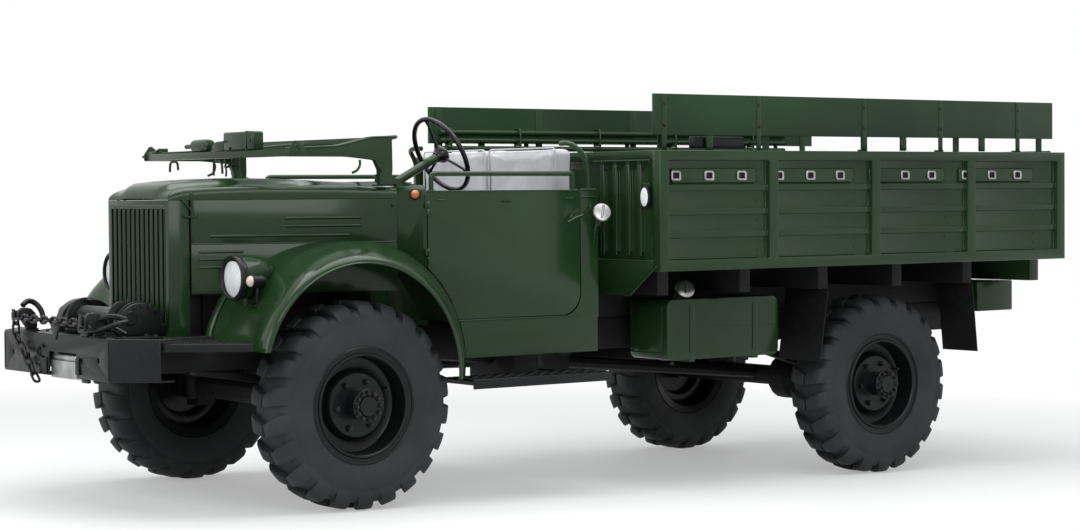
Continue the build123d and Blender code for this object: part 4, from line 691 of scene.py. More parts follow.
lens = lathe(lamp["glass"], (x - 14, y, z), (1, 0, 0), 48)
# the headlamp lenses wear the near-white lamp glass, whose brightness is a painted reflection of the reflector
setDown([mirrored(lens)], "headlampLenses", "chassis", lampGlassPaintedReflection, ["headlamp_glass"], 60)
sideLens = lathe([(0, 0), (25, 0), (25, 6), (20, 15), (11, 21), (0, 23)], (471, 706, 1057), (1, 0, 0.05), 32)
setDown([mirrored(sideLens)], "sideLampLenses", "chassis", opalGlass, (), 60)

# cowl trim: turn lamp on each side
cowlLampFoot = lathe([(0, -6), (27, -6), (28, 2), (24, 6), (0, 6)], (-398, 742, 1444), (0.68, 0.73, 0), 32)
setDown([mirrored(cowlLampFoot)], "turnLampFeet", "chassis", blackEnamel)
cowlLampLens = lathe([(0, 0), (21, 0), (20, 10), (14, 24), (6, 31), (0, 32)], (-394, 747, 1444),
                     (0.68, 0.73, 0), 32)
setDown([mirrored(cowlLampLens)], "turnLampLenses", "chassis", amberGlass, (), 60)
print("stage: lamps")

# windscreen folded on the bonnet: flanged arms, and the wiper gear on its far bar
screen = {"pivot": (-262, 1520), "size": (524, 202),
          "flange": ((-0.12, 0.96), (0.137, 0.955), (0.5, 0.74), (1, 0.68)),
          "lowFlange": ((0.02, 0.36), (0.1, 0.44), (0.385, 0.515), (1, 0.515))}


def screenPoint(share, y):
    return (screen["pivot"][0] + share[0] * screen["size"][0], y,
            screen["pivot"][1] + share[1] * screen["size"][1])


screenParts = []
for y in (703, 668):
    for line, radius in ((screen["flange"], 4.5), (screen["lowFlange"], 4)):
        screenParts.append(mirrored(tube([screenPoint(share, y) for share in line], radius, 30)))
cornerPlate = slab([(268, 1622), (268, 1655), (240, 1692), (226, 1694), (172, 1655), (168, 1622)], "side",
                   700, 706, 2)
cornerRim = tube([(250, 707, 1648), (230, 707, 1676), (204, 707, 1650)], 4, 8, 3, True)
screenParts += [mirrored(joined([cornerPlate, cornerRim])),
                mirrored(block((148, 186), (672, 698), (1660, 1684), 4))]
screenParts += [
    lathe([(0, 0), (24, 0), (30, 6), (31, 30), (31, 128), (28, 150), (18, 156), (0, 156)], (245, -216, 1686),
          (0, 1, 0), 32),
    bar((245, -306, 1684), (245, -214, 1686), 11),
    slab([(-27, 1652), (-24, 1672), (-8, 1690), (20, 1702), (92, 1704), (92, 1652)], "front", 222, 264, 5, 3),
    block((212, 274), (111, 391), (1655, 1744), 10, 3),
    block((209, 277), (330, 336), (1656, 1746), 1),
    tube([(245, -757, 1642), (245, -700, 1652), (245, -640, 1662), (245, -580, 1676)], 7, 20),
    block((228, 262), (-660, -590), (1655, 1668), 3),
]
for y, low in ((-430, 1563), (12, 1541)):
    screenParts.append(tube([(246, y - 44, low), (246, y - 40, 1612), (246, y + 36, 1612),
                             (246, y + 42, low + 8)], 6, 22))
screenParts.append(tube([(238, 160, 1640), (236, 128, 1600), (236, 96, 1580), (236, 60, 1584)], 6, 18))
screenParts.append(tube([(236, 62, 1616), (236, 74, 1560), (236, 70, 1536)], 5, 8))
screenParts.append(mirrored(tube([(-126, 688, 1606), (-128, 688, 1580), (-112, 688, 1556), (-84, 688, 1546)],
                                 6, 14)))
setDown(screenParts, "screenFittings", "windscreen", greenEnamel)
screenScrews = [hexHead((272, y, z), (1, 0, 0), 13, 7) for y, z in ((178, 1667), (333, 1673), (-60, 1668))]
screenScrews += [hexHead((277, y, 1700), (1, 0, 0), 11, 5) for y in (130, 372)]
screenScrews.append(mirrored(hexHead((-236, 700, 1560), (0, 1, 0), 17, 8)))
setDown(screenScrews, "screenScrews", "windscreen", oiledSteel)
footPlate = slab([(-244, 604), (-262, 650), (-395, 656), (-440, 652), (-462, 640), (-462, 622), (-440, 606)],
                 "plan",
                 1484, 1493, 3)
setDown([mirrored(footPlate)], "screenFeet", "chassis", greenEnamel)
footBolts = [hexHead((x, y, 1493), (0, 0, 1), 19, 9) for x, y in ((-443, 630), (-300, 636), (-380, 620))]
setDown([mirrored(joined(footBolts))], "screenFootBolts", "chassis", bareSteel)
print("stage: windscreen")

# doors: rolled top edge, curtain slots and a lever handle, with a grab rail over each
doorLook = {"slots": ((-519, 1416), (-1280, 1419)), "handle": (-1300, 1322)}
for hand, sign in (("left", 1), ("right", -1)):
    trim = [bead((-452, 779, 1457), (-1338, 779, 1457), 4),
            tube([(-874, 784, 1410), (-878, 792, 1410), (-922, 792, 1410), (-926, 784, 1410)], 4.5, 6)]
    for x, z in doorLook["slots"]:
        trim.append(bead((x - 26, 780, z), (x + 26, 780, z), 4))
    handleX, handleZ = doorLook["handle"]
    trim += [lathe([(0, 0), (19, 0), (19, 4), (11, 8), (9, 30), (0, 30)], (handleX, 779, handleZ), (0, 1, 0),
                   24),
             tube([(handleX - 44, 806, handleZ + 12), (handleX, 808, handleZ),
                   (handleX + 48, 806, handleZ - 22)], 6.5, 20),
             tube([(handleX + 4, 804, handleZ), (handleX - 10, 804, handleZ + 22)], 5)]
    doorTrim = joined(trim)
    if sign < 0:
        doorTrim = mirrored(doorTrim)
        bpy.ops.object.mode_set(mode="EDIT")
        bpy.ops.mesh.select_all(action="SELECT")
        bpy.ops.mesh.bisect(plane_co=(0, 0, 0), plane_no=(0, 1, 0), clear_outer=True)
        bpy.ops.object.mode_set(mode="OBJECT")
    setDown([doorTrim], "doorTrim_" + hand, "door_" + hand, greenEnamel)
    y = sign * 763
    rail = tube([(-474, y, 1459), (-474, y, 1540), (-1318, y, 1540), (-1318, y, 1459)], 12, 22, 4)
    feet = [lathe([(0, 0), (19, 0), (19, 4), (13, 7), (0, 7)], (x, y, 1459), (0, 0, 1),
                  24) for x in (-474, -1318)]
    node = "grab_rail_" + hand
    setDown([rail] + feet, "doorRail_" + hand, frame["nodes"][node]["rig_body"], greenEnamel, [node])

# cab fittings: hinge covers, the hoop behind the seats, and two lidded filler caps on the left side
hingeCover = slab([(-446, 1376), (-430, 1372), (-424, 1384), (-424, 1440), (-432, 1452), (-448, 1446)],
                  "side",
                  778, 786, 3)
hoop = tube([(-1419, 758, 1455), (-1416, 758, 1560), (-1398, 752, 1630), (-1352, 735, 1678),
             (-1344, 690, 1692),
             (-1352, 620, 1690)], 13, 60, 4)
rearLip = bead((-1352, 781, 1424), (-1452, 781, 1424), 4)
sillBead = bead((-610, 781, 840), (-1340, 781, 840), 4)
topRoll = bead((-1352, 777, 1459), (-1452, 777, 1459), 6)
setDown([mirrored(joined([hingeCover, hoop, rearLip, sillBead, topRoll]))], "cabTrim", "chassis", greenEnamel)


def fillerCap(centre, axis, radius):
    # a domed lid with a finger bar across it
    lid = lathe([(0, -18), (radius * 0.8, -18), (radius * 0.82, -4), (radius, -2), (radius, 10),
                 (radius * 0.9, 15),
                 (radius * 0.5, 19), (0, 20)], centre, axis, 40)
    tilt = Vector(axis).normalized()
    side = tilt.cross(Vector((1, 0, 0.4))).normalized()
    top = Vector(centre) + tilt * 21
    return [lid, bead(top - side * radius * 0.8, top + side * radius * 0.8, 5.5)]


cabFiller = fillerCap((-1432, 846, 1346), (0.35, 0.85, 0.35), 46)
tankFiller = fillerCap((-2024, 775, 948), (0.3, 0.8, 0.5), 50)
lids = cabFiller + tankFiller
necks = [tube([(-1440, 776, 1290), (-1438, 808, 1302), (-1434, 836, 1334)], 24, 18, 4),
         tube([(-1424, 786, 1200), (-1414, 812, 1250), (-1418, 826, 1310)], 5, 18),
         tube([(-2012, 738, 894), (-2018, 752, 918), (-2022, 764, 936)], 28, 10, 4)]
setDown(lids, "fillerCaps", "chassis", bareSteel)
setDown(necks, "fillerNecks", "chassis", greenEnamel)
print("stage: cab")

# seats: canvas covers stuffed by a short cloth run, piping laid after it
seat = {"y": (8, 595), "cushion": ((-1328, -902), (1092, 1232)), "back": ((-1452, -1340), (1092, 1676)),
        "voxel": 11, "pressure": 4.0, "cap": 14, "piping": 4.5}


def stuffedPad(x, y, z):
    pad = block(x, y, z, 30, 4)
    remesh = pad.modifiers.new("even", "REMESH")
    remesh.mode = "VOXEL"
    remesh.voxel_size = seat["voxel"] / 1000
    bpy.ops.object.modifier_apply(modifier=remesh.name)
    before = [vertex.co.copy() for vertex in pad.data.vertices]
    cloth = pad.modifiers.new("stuffing", "CLOTH")
    cloth.settings.use_pressure = True
    cloth.settings.uniform_pressure_force = seat["pressure"]
    cloth.settings.shrink_min = -0.04
    cloth.settings.tension_stiffness = 8
    cloth.settings.bending_stiffness = 0.3
    cloth.settings.effector_weights.gravity = 0
    for moment in range(1, 21):
        bpy.context.scene.frame_set(moment)
    chooseOnly(pad)
    bpy.ops.object.modifier_apply(modifier=cloth.name)
    bpy.context.scene.frame_set(1)
    for vertex, start in zip(pad.data.vertices, before):
        move = vertex.co - start
        vertex.co = start + move * min(1, seat["cap"] / 1000 / max(move.length, 1e-6))
        vertex.co.x = min(max(vertex.co.x, (x[0] - 3) / 1000), (x[1] + 10) / 1000)
        vertex.co.y = min(max(vertex.co.y, (y[0] - 6) / 1000), (y[1] + 8) / 1000)
        vertex.co.z = min(max(vertex.co.z, (z[0] - 1) / 1000), (z[1] + 10) / 1000)
    chooseOnly(pad)
    finer = pad.modifiers.new("finer", "SUBSURF")
    finer.levels = finer.render_levels = 1
    bpy.ops.object.modifier_apply(modifier=finer.name)
    return pad


for name, (x, z) in (("Cushion", seat["cushion"]), ("Back", seat["back"])):
    for hand, sign in (("Left", 1), ("Right", -1)):
        y = tuple(sorted(sign * v for v in seat["y"]))
        pad = stuffedPad(x, y, z)
        near, front = (z[1] - 6, x[1] - 4) if name == "Back" else (z[1] - 2, x[1] - 6)
        low, inner, outer = z[0] + 12, y[0] + 10, y[1] - 10
        loop = [(front, inner, low), (front, outer, low), (front, outer, near), (front, inner, near)]
        piping = tube(loop + [loop[0]], seat["piping"], 24, 2)
        piece = setDown([pad, piping], "seat" + name + hand, "chassis", seatCloth,
                        ["seat_cushion" if name == "Cushion" else "seat_back"], 60)
print("stage: seats")

# steering wheel: moulded rim on three rods, a boss with its horn button
steering = {"hub": (-781, 400, 1638), "radius": 205, "rim": 12, "slope": 27}
slope = math.radians(steering["slope"])
hub = Vector(steering["hub"])
axis = Vector((-math.cos(slope), 0, math.sin(slope)))
rise = Vector((math.sin(slope), 0, math.cos(slope)))
across = Vector((0, 1, 0))
reach = steering["radius"] - steering["rim"]
ring = [hub + (rise * math.cos(a) + across * math.sin(a)) * reach for a in (2 * math.pi * k / 72 for k in range(72))]
wheelParts = [tube(ring, steering["rim"], 0, 4, True)]
for k in range(3):
    a = math.radians(120 * k)
    way = rise * math.cos(a) + across * math.sin(a)
    wheelParts.append(tube([hub - axis * 8 + way * 20, hub - axis * 2 + way * 90, hub + way * (reach - 4)], 7,
                           30))
    wheelParts.append(lathe([(0, 0), (7.5, 0), (10, 20), (12, 34), (0, 34)], hub + way * (reach - 36), way,
                            16))
wheelParts.append(lathe([(0, -34), (26, -34), (30, -22), (42, -10), (46, 4), (44, 14), (34, 22), (28, 23),
                         (26, 28), (14, 33),
                         (0, 34)], hub, axis, 40))
setDown(wheelParts, "steeringWheelRim", "steering_wheel", blackBakelite, ["steering_wheel"])
print("stage: steering wheel")

# winch: rounded end housings on a base plate between the rails
winch = {"base": ((770, 970), (-430, 430), (800.5, 808)), "arc": (800, 835), "radius": 125,
         "near": (221, 281),
         "far": (-371, -221)}
arcPoints = [(winch["arc"][0] + winch["radius"] * math.cos(a),
              winch["arc"][1] + winch["radius"] * math.sin(a))
             for a in (math.pi * k / 24 for k in range(25))]
winchParts = [block(*winch["base"], 2)]
for y in (winch["near"], winch["far"]):
    winchParts.append(slab([(925, 806)] + arcPoints + [(675, 806)], "side", y[0], y[1], 8, 3))
    middle = sum(y) / 2
    seamArc = [(px + 8 * (px - 800) / 125, pz + 6 * (pz - 835) / 125) for px, pz in arcPoints[2:-2]]
    winchParts.append(slab([(940, 800), (940, 812), (931, 836)] + seamArc + [(669, 836), (660, 812),
                                                                             (660, 800)], "side",
                           middle - 7, middle + 7, 3))
winchParts += [block((940, 968), (60, 190), (808, 850), 5), block((935, 965), (-180, -60), (808, 842), 5),
               bar((955, -215, 842), (955, 215, 842), 14),
               tube([(930, 285, 830), (965, 300, 850), (975, 360, 852), (940, 400, 824)], 10, 20),
               bar((860, -388, 890), (860, -371, 890), 40), bar((860, 281, 890), (860, 300, 890), 34)]
setDown(winchParts, "winchHousings", "chassis", blackEnamel, ["winch_frame"])
winchBolts = []
for y, out in ((281, 1), (-371, -1)):
    for k in range(9):
        a = math.pi * (k + 0.5) / 9
        at = (winch["arc"][0] + 108 * math.cos(a), y, winch["arc"][1] + 108 * math.sin(a))
        winchBolts.append(hexHead(at, (0, out, 0), 14, 7))
for x in (790, 950):
    for y in (-395, -300, 300, 395):
        winchBolts.append(hexHead((x, y, 808), (0, 0, 1), 17, 8))
setDown(winchBolts, "winchBolts", "chassis", oiledSteel)

# tow hooks: forged horns on the bumper's top edge, a shackle laid over the near one
hookLook = {"y": 354, "half": 15,
            "outline": ((1032, 810), (1082, 810), (1080, 836), (1092, 850), (1100, 868), (1112, 876),
                        (1128, 876), (1140, 862),
                        (1146, 874), (1147, 900), (1140, 919), (1136, 906), (1128, 900), (1116, 904),
                        (1102, 918), (1080, 926),
                        (1056, 920), (1036, 900), (1027, 872), (1026, 840))}
horns = []
for y in (-hookLook["y"], hookLook["y"]):
    horns.append(slab(hookLook["outline"], "side", y - hookLook["half"], y + hookLook["half"], 7, 3))
hookBolts = []
for sign in (-1, 1):
    horns.append(block((1024, 1092), (sign * 354 - 34, sign * 354 + 34), (812, 820), 3))
    for dy in (-24, 24):
        hookBolts.append(hexHead((1034, sign * 354 + dy, 820), (0, 0, 1), 15, 8))
    hookBolts.append(hexHead((1060, sign * 354 + sign * 15, 850), (0, sign, 0), 19, 10))
curl = tube([(1000, -330, 846), (996, -350, 905), (1022, -372, 948), (1062, -372, 958), (1094, -352, 936)],
            13, 40, 4)
shackle = [tube([(1090, 236, 846), (1086, 290, 864), (1060, 360, 896), (1010, 420, 912), (964, 452, 892)], 13,
                40, 4),
           tube([(1092, 246, 840), (1092, 330, 842), (1070, 420, 852), (1020, 470, 876), (966, 462, 884)], 12,
                40, 4),
           block((1046, 1098), (258, 330), (812, 846), 8, 3)]
setDown(horns + [curl] + shackle, "towHooks", "chassis", blackEnamel)
setDown(hookBolts, "hookBolts", "chassis", oiledSteel)

# tow chain: round-bar links where the solids' links are
chainLook = {"bar": 6.3, "width": 42, "length": 73.7, "pitch": 51.4, "x": 1129, "z": 879.8, "levelEnd": 345.3,
             "ring": 31,
             "ringZ": (852.3, 907.3), "hookY": 354, "slope": 42}


def chainLink(centre, along, across):
    # a stadium of round bar, lying along one way and facing another
    along, across = Vector(along).normalized(), Vector(across).normalized()
    wide = along.cross(across)
    bend = chainLook["width"] / 2 - chainLook["bar"]
    straight = chainLook["length"] / 2 - chainLook["bar"] - bend
    route = []
    for end in (1, -1):
        for k in range(7):
            a = math.pi * (k / 6 - 0.5)
            route.append(Vector(centre) + end * (along * (straight + bend * math.cos(a)) + wide * bend * math.sin(a)))
    return tube(route, chainLook["bar"], 0, 2, True)


links = []
for sign in (-1, 1):
    y, half, (low, high) = sign * chainLook["hookY"], chainLook["ring"] - 6, chainLook["ringZ"]
    links.append(tube([(chainLook["x"], y - half, low - 4), (chainLook["x"], y + half, low - 4),
                       (chainLook["x"], y + half, high), (chainLook["x"], y - half, high),
                       (chainLook["x"], y - half, low - 4)], 7, 18, 3))
for k in range(13):
    y = chainLook["length"] / 2 - chainLook["levelEnd"] + k * chainLook["pitch"]
    facingWay = (1, 0, 0.25) if k % 2 else (0.25, 0, 1)
    links.append(chainLink((chainLook["x"], y, chainLook["z"]), (0, 1, 0.03 * (-1) ** k), facingWay))
hangZ = chainLook["ringZ"][0] + 11.3 - chainLook["length"] / 2
links.append(chainLink((chainLook["x"], -chainLook["hookY"], hangZ), (0, 0, 1), (0, 1, 0)))
slopeAngle = math.radians(chainLook["slope"])
fall = Vector((0, math.cos(slopeAngle), -math.sin(slopeAngle)))
facing = Vector((0, math.sin(slopeAngle), math.cos(slopeAngle)))
lowBar = Vector((chainLook["x"], -chainLook["hookY"], hangZ - chainLook["length"] / 2 + 5.5))
firstLoose = lowBar + fall * (chainLook["length"] / 2 - 11 - 7.8 - 0.3)
for k in range(6):
    links.append(chainLink(firstLoose + fall * k * chainLook["pitch"], fall, facing if k % 2 else (1, 0, 0)))
setDown(links, "towChainLinks", "chassis", forgedChain, ["tow_chain"], 60)

# bumper fittings: tongue over the edge, a small hook and guide plates by the notch, the nuts under its lip
tongue = slab([(-40, 872), (70, 874), (62, 842), (34, 812), (26, 792), (0, 790), (-6, 812)], "front", 1100,
              1107, 2)
tongueTop = slab([(1104, -38), (1104, 66), (1010, 56), (1010, -30)], "plan", 864, 871, 2)
guideLeft = block((1101, 1110), (-166, -74), (626, 704), 3)
guideRight = block((1101, 1110), (226, 262), (640, 716), 3)
smallHook = tube([(1108, -104, 752), (1110, -136, 762), (1110, -164, 744), (1110, -166, 716),
                  (1110, -140, 702),
                  (1106, -118, 706)], 5, 16)
lowLip = [block((1040, 1099), (-60, 222), (738, 744), 2), block((1080, 1098), (262, 330), (606, 626), 6, 3)]
setDown([tongue, tongueTop, guideLeft, guideRight, smallHook] + lowLip, "bumperFittings", "chassis",
        blackEnamel)
bendBeads = [bead((1101.5, sign * 543, 632), (1101.5, sign * 543, 805), 2.5) for sign in (-1, 1)]
topBeads = [bead((1096, -538, 812), (1096, 538, 812), 3.5)]
topBeads += [bead((1096, sign * 541, 812), (936, sign * 706, 812), 3.5) for sign in (-1, 1)]
setDown(bendBeads + topBeads, "bumperEdges", "chassis", blackEnamel)

# tread plate: low lozenges in two slants on the front steps and the running boards
studs = {"pitch": 34, "halfLength": 12, "halfWidth": 2.6, "shoulder": 7, "height": 2.4}


def inside(x, y, outline):
    # whether a plan point lies in a convex outline
    turns = [(x2 - x1) * (y - y1) - (y2 - y1) * (x - x1) for (x1, y1),
             (x2, y2) in zip(outline, outline[1:] + outline[:1])]
    return all(t > 0 for t in turns) or all(t < 0 for t in turns)


end, side, shoulder = studs["halfLength"], studs["halfWidth"], studs["shoulder"]
stud = slab([(-end, 0), (-shoulder, side), (shoulder, side), (end, 0), (shoulder, -side), (-shoulder, -side)],
            "plan",
            -1, studs["height"], 0)
bpy.ops.object.mode_set(mode="EDIT")
bpy.ops.mesh.select_all(action="DESELECT")
bpy.ops.object.mode_set(mode="OBJECT")
for face in stud.data.polygons:
    face.select = face.normal.z > 0.9
bpy.ops.object.mode_set(mode="EDIT")
bpy.ops.mesh.select_mode(type="FACE")
bpy.ops.transform.resize(value=(0.75, 0.55, 1))
bpy.ops.mesh.select_mode(type="VERT")
bpy.ops.object.mode_set(mode="OBJECT")
treadAreas = (("frontTread", 792, [(905, 445), (905, 700), (640, 930), (610, 930), (610, 445)]),
              ("boardTread", 570, [(-594, 712), (-594, 936), (-1393, 936), (-1393, 712)]))
for name, height, outline in treadAreas:
    made = []
    lowX, highX = min(p[0] for p in outline), max(p[0] for p in outline)
    lowY, highY = min(p[1] for p in outline), max(p[1] for p in outline)
    for i in range(int((highX - lowX) / studs["pitch"])):
        for j in range(int((highY - lowY) / studs["pitch"])):
            x, y = lowX + (i + 0.5) * studs["pitch"], lowY + (j + 0.5) * studs["pitch"]
            if inside(x, y, outline):
                slant = math.radians(45 if (i + j) % 2 else -45)
                made.append(copied(stud, Matrix.Translation(mm(x, y, height)) @ Matrix.Rotation(slant, 4,
                                                                                                "Z")))
    setDown([mirrored(joined(made))], name, "chassis", blackEnamel)
bpy.data.objects.remove(stud)
print("stage: front end")

# cargo bed: latch plates between the pressed ribs, rivets, the ledge over the bottom rail
bed = {"rib": (1232, 1345, 1465),
       "plates": (((-1702, -2255), (-1722, -1938, -2154)), ((-2376, -2934), (-2408, -2626, -2836)),
                  ((-3052, -3612), (-3092, -3312, -3512)), ((-3730, -4318), (-3776, -3982, -4188))),
       "plateZ": (1489, 1561)}
sideTrim, sideHooks, sideRivets, sideSlotShades = [], [], [], []
for (front, rear), hooks in bed["plates"]:
    sideTrim.append(block((rear, front), (1050, 1066), bed["plateZ"], 7, 3))
    for z in bed["rib"]:
        sideTrim.append(bead((front + 30, 1064, z + 12), (rear - 30, 1064, z + 12), 5))
    sideTrim.append(bead((front + 20, 1056, 1114), (rear - 20, 1056, 1114), 5))
    for x in hooks:
        sideHooks.append(tube([(x - 26, 1070, 1506), (x + 26, 1070, 1506), (x + 26, 1070, 1545),
                               (x - 26, 1070, 1545),
                               (x - 26, 1070, 1506)], 6, 12, 3))
        # each latch slot is a chassis-black block standing proud of the plate: the shade inside the opening, painted
        sideSlotShades.append(block((x - 19, x + 19), (1060, 1068), (1513, 1538), 3))
    for k in range(9):
        sideRivets.append(lathe([(0, 0), (6, 0), (4.5, 3), (0, 4.5)], (rear - 18, 1051, 1150 + 50 * k),
                                (0, 1, 0), 10))
setDown([mirrored(joined(sideTrim))], "bedSideTrim", "chassis", greenEnamel)
setDown([mirrored(joined(sideHooks))], "bedLatchHooks", "chassis", bareSteel)
# the latch slots' darkness is painted shade, laid on as black blocks instead of openings
setDown([mirrored(joined(sideSlotShades))], "bedLatchSlotShade", "chassis", chassisBlack)
setDown([mirrored(joined(sideRivets))], "bedRivets", "chassis", greenEnamel)

# bed front wall: pressed ribs, and an oval reflector on each corner
frontTrim = [slab([(y - 13, 1130), (y + 13, 1130), (y + 13, 1586), (y - 13, 1586)], "front", -1612, -1601, 5,
                  3)
             for y in (634, 735, 838, 929)]
frontTrim += [bead((-1603, 560, 1602), (-1603, 1010, 1602), 5),
              bead((-1604, 848, 934), (-1604, 1062, 1082), 4),
              block((-1612, -1600), (960, 1008), (1470, 1492), 3)]
frontTrim += [lathe([(0, 0), (9, 0), (7, 5), (0, 7)], (-1606, y, 1594), (1, 0, 0), 14) for y in (634, 735,
                                                                                                 838, 929)]
setDown([mirrored(joined(frontTrim))], "bedFrontTrim", "chassis", greenEnamel)
oval = [(984 + 36 * math.cos(a), 1421 + 56 * math.sin(a)) for a in (math.pi * k / 16 for k in range(32))]
ovalLens = [(984 + 27 * math.cos(a), 1421 + 46 * math.sin(a)) for a in (math.pi * k / 16 for k in range(32))]
setDown([mirrored(slab(oval, "front", -1610, -1590, 6, 3))], "reflectorRims", "chassis", blackEnamel)
# the reflector lenses wear the same near-white glass, its brightness a painted reflection
setDown([mirrored(slab(ovalLens, "front", -1594, -1586, 5, 3))], "reflectorLenses", "chassis", lampGlassPaintedReflection)

# side racks: iron straps over the board with two coach screws each, blocks between board and rail
rack = {"straps": (-1708, -2334, -3080, -3656, -4270)}
rackIron, rackScrews = [], []
for x in rack["straps"]:
    rackIron.append(block((x - 15, x + 15), (994, 1001), (1652, 1931), 1.5))
    rackIron.append(block((x - 24, x + 24), (972, 999), (1651, 1662), 2))
    for z in (1775, 1885):
        rackScrews.append(lathe([(0, 0), (9, 0), (8, 4), (4, 6.5), (0, 7)], (x, 1001, z), (0, 1, 0), 14))
for x in (-2010, -3380, -3990):
    rackIron.append(block((x - 20, x + 20), (980, 996), (1656, 1730), 3))
setDown([mirrored(joined(rackIron))], "rackStraps", "chassis", greenEnamel)
setDown([mirrored(joined(rackScrews))], "rackScrews", "chassis", oiledSteel)
setDown([block((-2262, -1916), (938, 972), (1662, 1722), 6)], "toolCase", "chassis", blackEnamel)

# folded bows: tubes bundled with clamps
tieParts = []
for x in (-1760, -2240, -2820, -3400, -4020):
    tieParts.append(tube([(x, -953, 1674), (x, -926, 1676), (x, -924, 1745), (x, -926, 1812), (x, -953, 1814),
                          (x, -979, 1812), (x, -981, 1745), (x, -979, 1676), (x, -953, 1674)], 6, 16, 3))
    tieParts.append(block((x - 13, x + 13), (-975, -931), (1716, 1729), 4))
setDown(tieParts, "bowTies", "chassis", greenEnamel)
print("stage: cargo bed")

# fuel tank straps with their tightening bolts, and end brackets
tank = {"straps": (-2480, -2050), "y": (498, 804), "z": (586, 903)}
strapParts, strapBolts = [], []
for x in tank["straps"]:
    (innerY, outerY), (lowZ, highZ) = tank["y"], tank["z"]
    ringOut = [(innerY, highZ), (outerY - 42, highZ), (outerY - 12, highZ - 12), (outerY, highZ - 42),
               (outerY, lowZ + 42),
               (outerY - 12, lowZ + 12), (outerY - 42, lowZ), (innerY, lowZ)]
    ringIn = [(innerY, highZ - 6), (outerY - 45, highZ - 6), (outerY - 18, highZ - 18),
              (outerY - 6, highZ - 45),
              (outerY - 6, lowZ + 45), (outerY - 18, lowZ + 18), (outerY - 45, lowZ + 6), (innerY, lowZ + 6)]
    strapParts.append(slab(ringOut + ringIn[::-1], "front", x - 19, x + 19, 1))
    strapParts.append(block((x - 15, x + 15), (560, 590), (572, 590), 3))
    strapBolts.append(bar((x, 640, 560), (x, 640, 604), 6))
    strapBolts.append(hexHead((x, 640, 566), (0, 0, -1), 17, 12))
setDown(strapParts, "tankStraps", "chassis", greenEnamel)
setDown(strapBolts, "tankStrapBolts", "chassis", oiledSteel)
tankEnds = [slab([(540, 630), (760, 630), (760, 860), (540, 860)], "front", x - 4, x + 4,
                 3) for x in (-2643, -1885)]
seams = [bead((-1900, 796, 748), (-2630, 796, 748), 5)]
setDown(tankEnds + seams, "tankPressings", "chassis", greenEnamel)

# tailgate: capping, latches and hinge straps; tail lamps; pintle jaw
gateTrim = [bead((-4530, -1010, 1654), (-4530, 1010, 1654), 8)]
for y in (-350, 350):
    gateTrim.append(block((-4574, -4562), (y - 24, y + 24), (1120, 1640), 4))
for z in (1240, 1370, 1500):
    gateTrim.append(block((-4572, -4562), (-980, 980), (z - 14, z + 14), 5, 3))
gateIron = []
for y in (-700, 700):
    gateIron.append(block((-4576, -4566), (y - 22, y + 22), (1090, 1420), 3))
for y in (-985, 985):
    gateIron.append(tube([(-4576, y, 1560), (-4584, y, 1600), (-4560, y, 1640), (-4530, y, 1650)], 8, 18))
setDown(gateTrim, "tailgateTrim", "tailgate", greenEnamel)
setDown(gateIron, "tailgateIron", "tailgate", blackEnamel)
tailParts = [lathe([(0, 0), (52, 0), (56, -8), (56, -30), (50, -36), (0, -36)], (-4556, sign * 560, 838),
                   (1, 0, 0), 36)
             for sign in (-1, 1)]
setDown(tailParts, "tailLampRims", "chassis", blackEnamel)
setDown([lathe([(0, -34), (46, -34), (44, -40), (28, -45), (0, -47)], (-4556, sign * 560, 838), (1, 0, 0), 36)
         for sign in (-1, 1)], "tailLampLenses", "chassis", amberGlass)
jaw = [tube([(-4552, 0, 694), (-4574, 0, 688), (-4590, 0, 705), (-4588, 0, 738), (-4574, 0, 750)], 13, 22, 4),
       block((-4584, -4556), (-24, 24), (748, 762), 5)]
setDown(jaw, "pintleJaw", "chassis", chassisBlack)
print("stage: rear")


def dressed(node, material, edge=2.0, segments=2, name=None):
    # the CAD node's own shape with its loose triangles merged into faces and its edges rounded, as pressed sheet is
    chooseOnly(frame["nodes"][node])
    bpy.ops.object.duplicate()
    piece = bpy.context.object
    bpy.ops.object.parent_clear(type="CLEAR_KEEP_TRANSFORM")
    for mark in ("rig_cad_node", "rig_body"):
        del piece[mark]
    bpy.ops.object.mode_set(mode="EDIT")
    bpy.ops.mesh.select_all(action="SELECT")
    bpy.ops.mesh.remove_doubles(threshold=0.00001)
    bpy.ops.mesh.dissolve_limited(angle_limit=math.radians(0.6))
    bpy.ops.object.mode_set(mode="OBJECT")
    roundEdges(piece, edge, segments, 30)
    return finished(piece, name or node + "Dressed", frame["nodes"][node]["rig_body"], material, [node])


def darkUnderside(piece, below, ahead, material):
    # the faces under the floor and behind the apron wear the chassis black
    piece.data.materials.append(material)
    slope = stance.inverted()
    for face in piece.data.polygons:
        centre = slope @ face.center
        if centre.z < below and -4.36 < centre.x < ahead:
            face.material_index = len(piece.data.materials) - 1


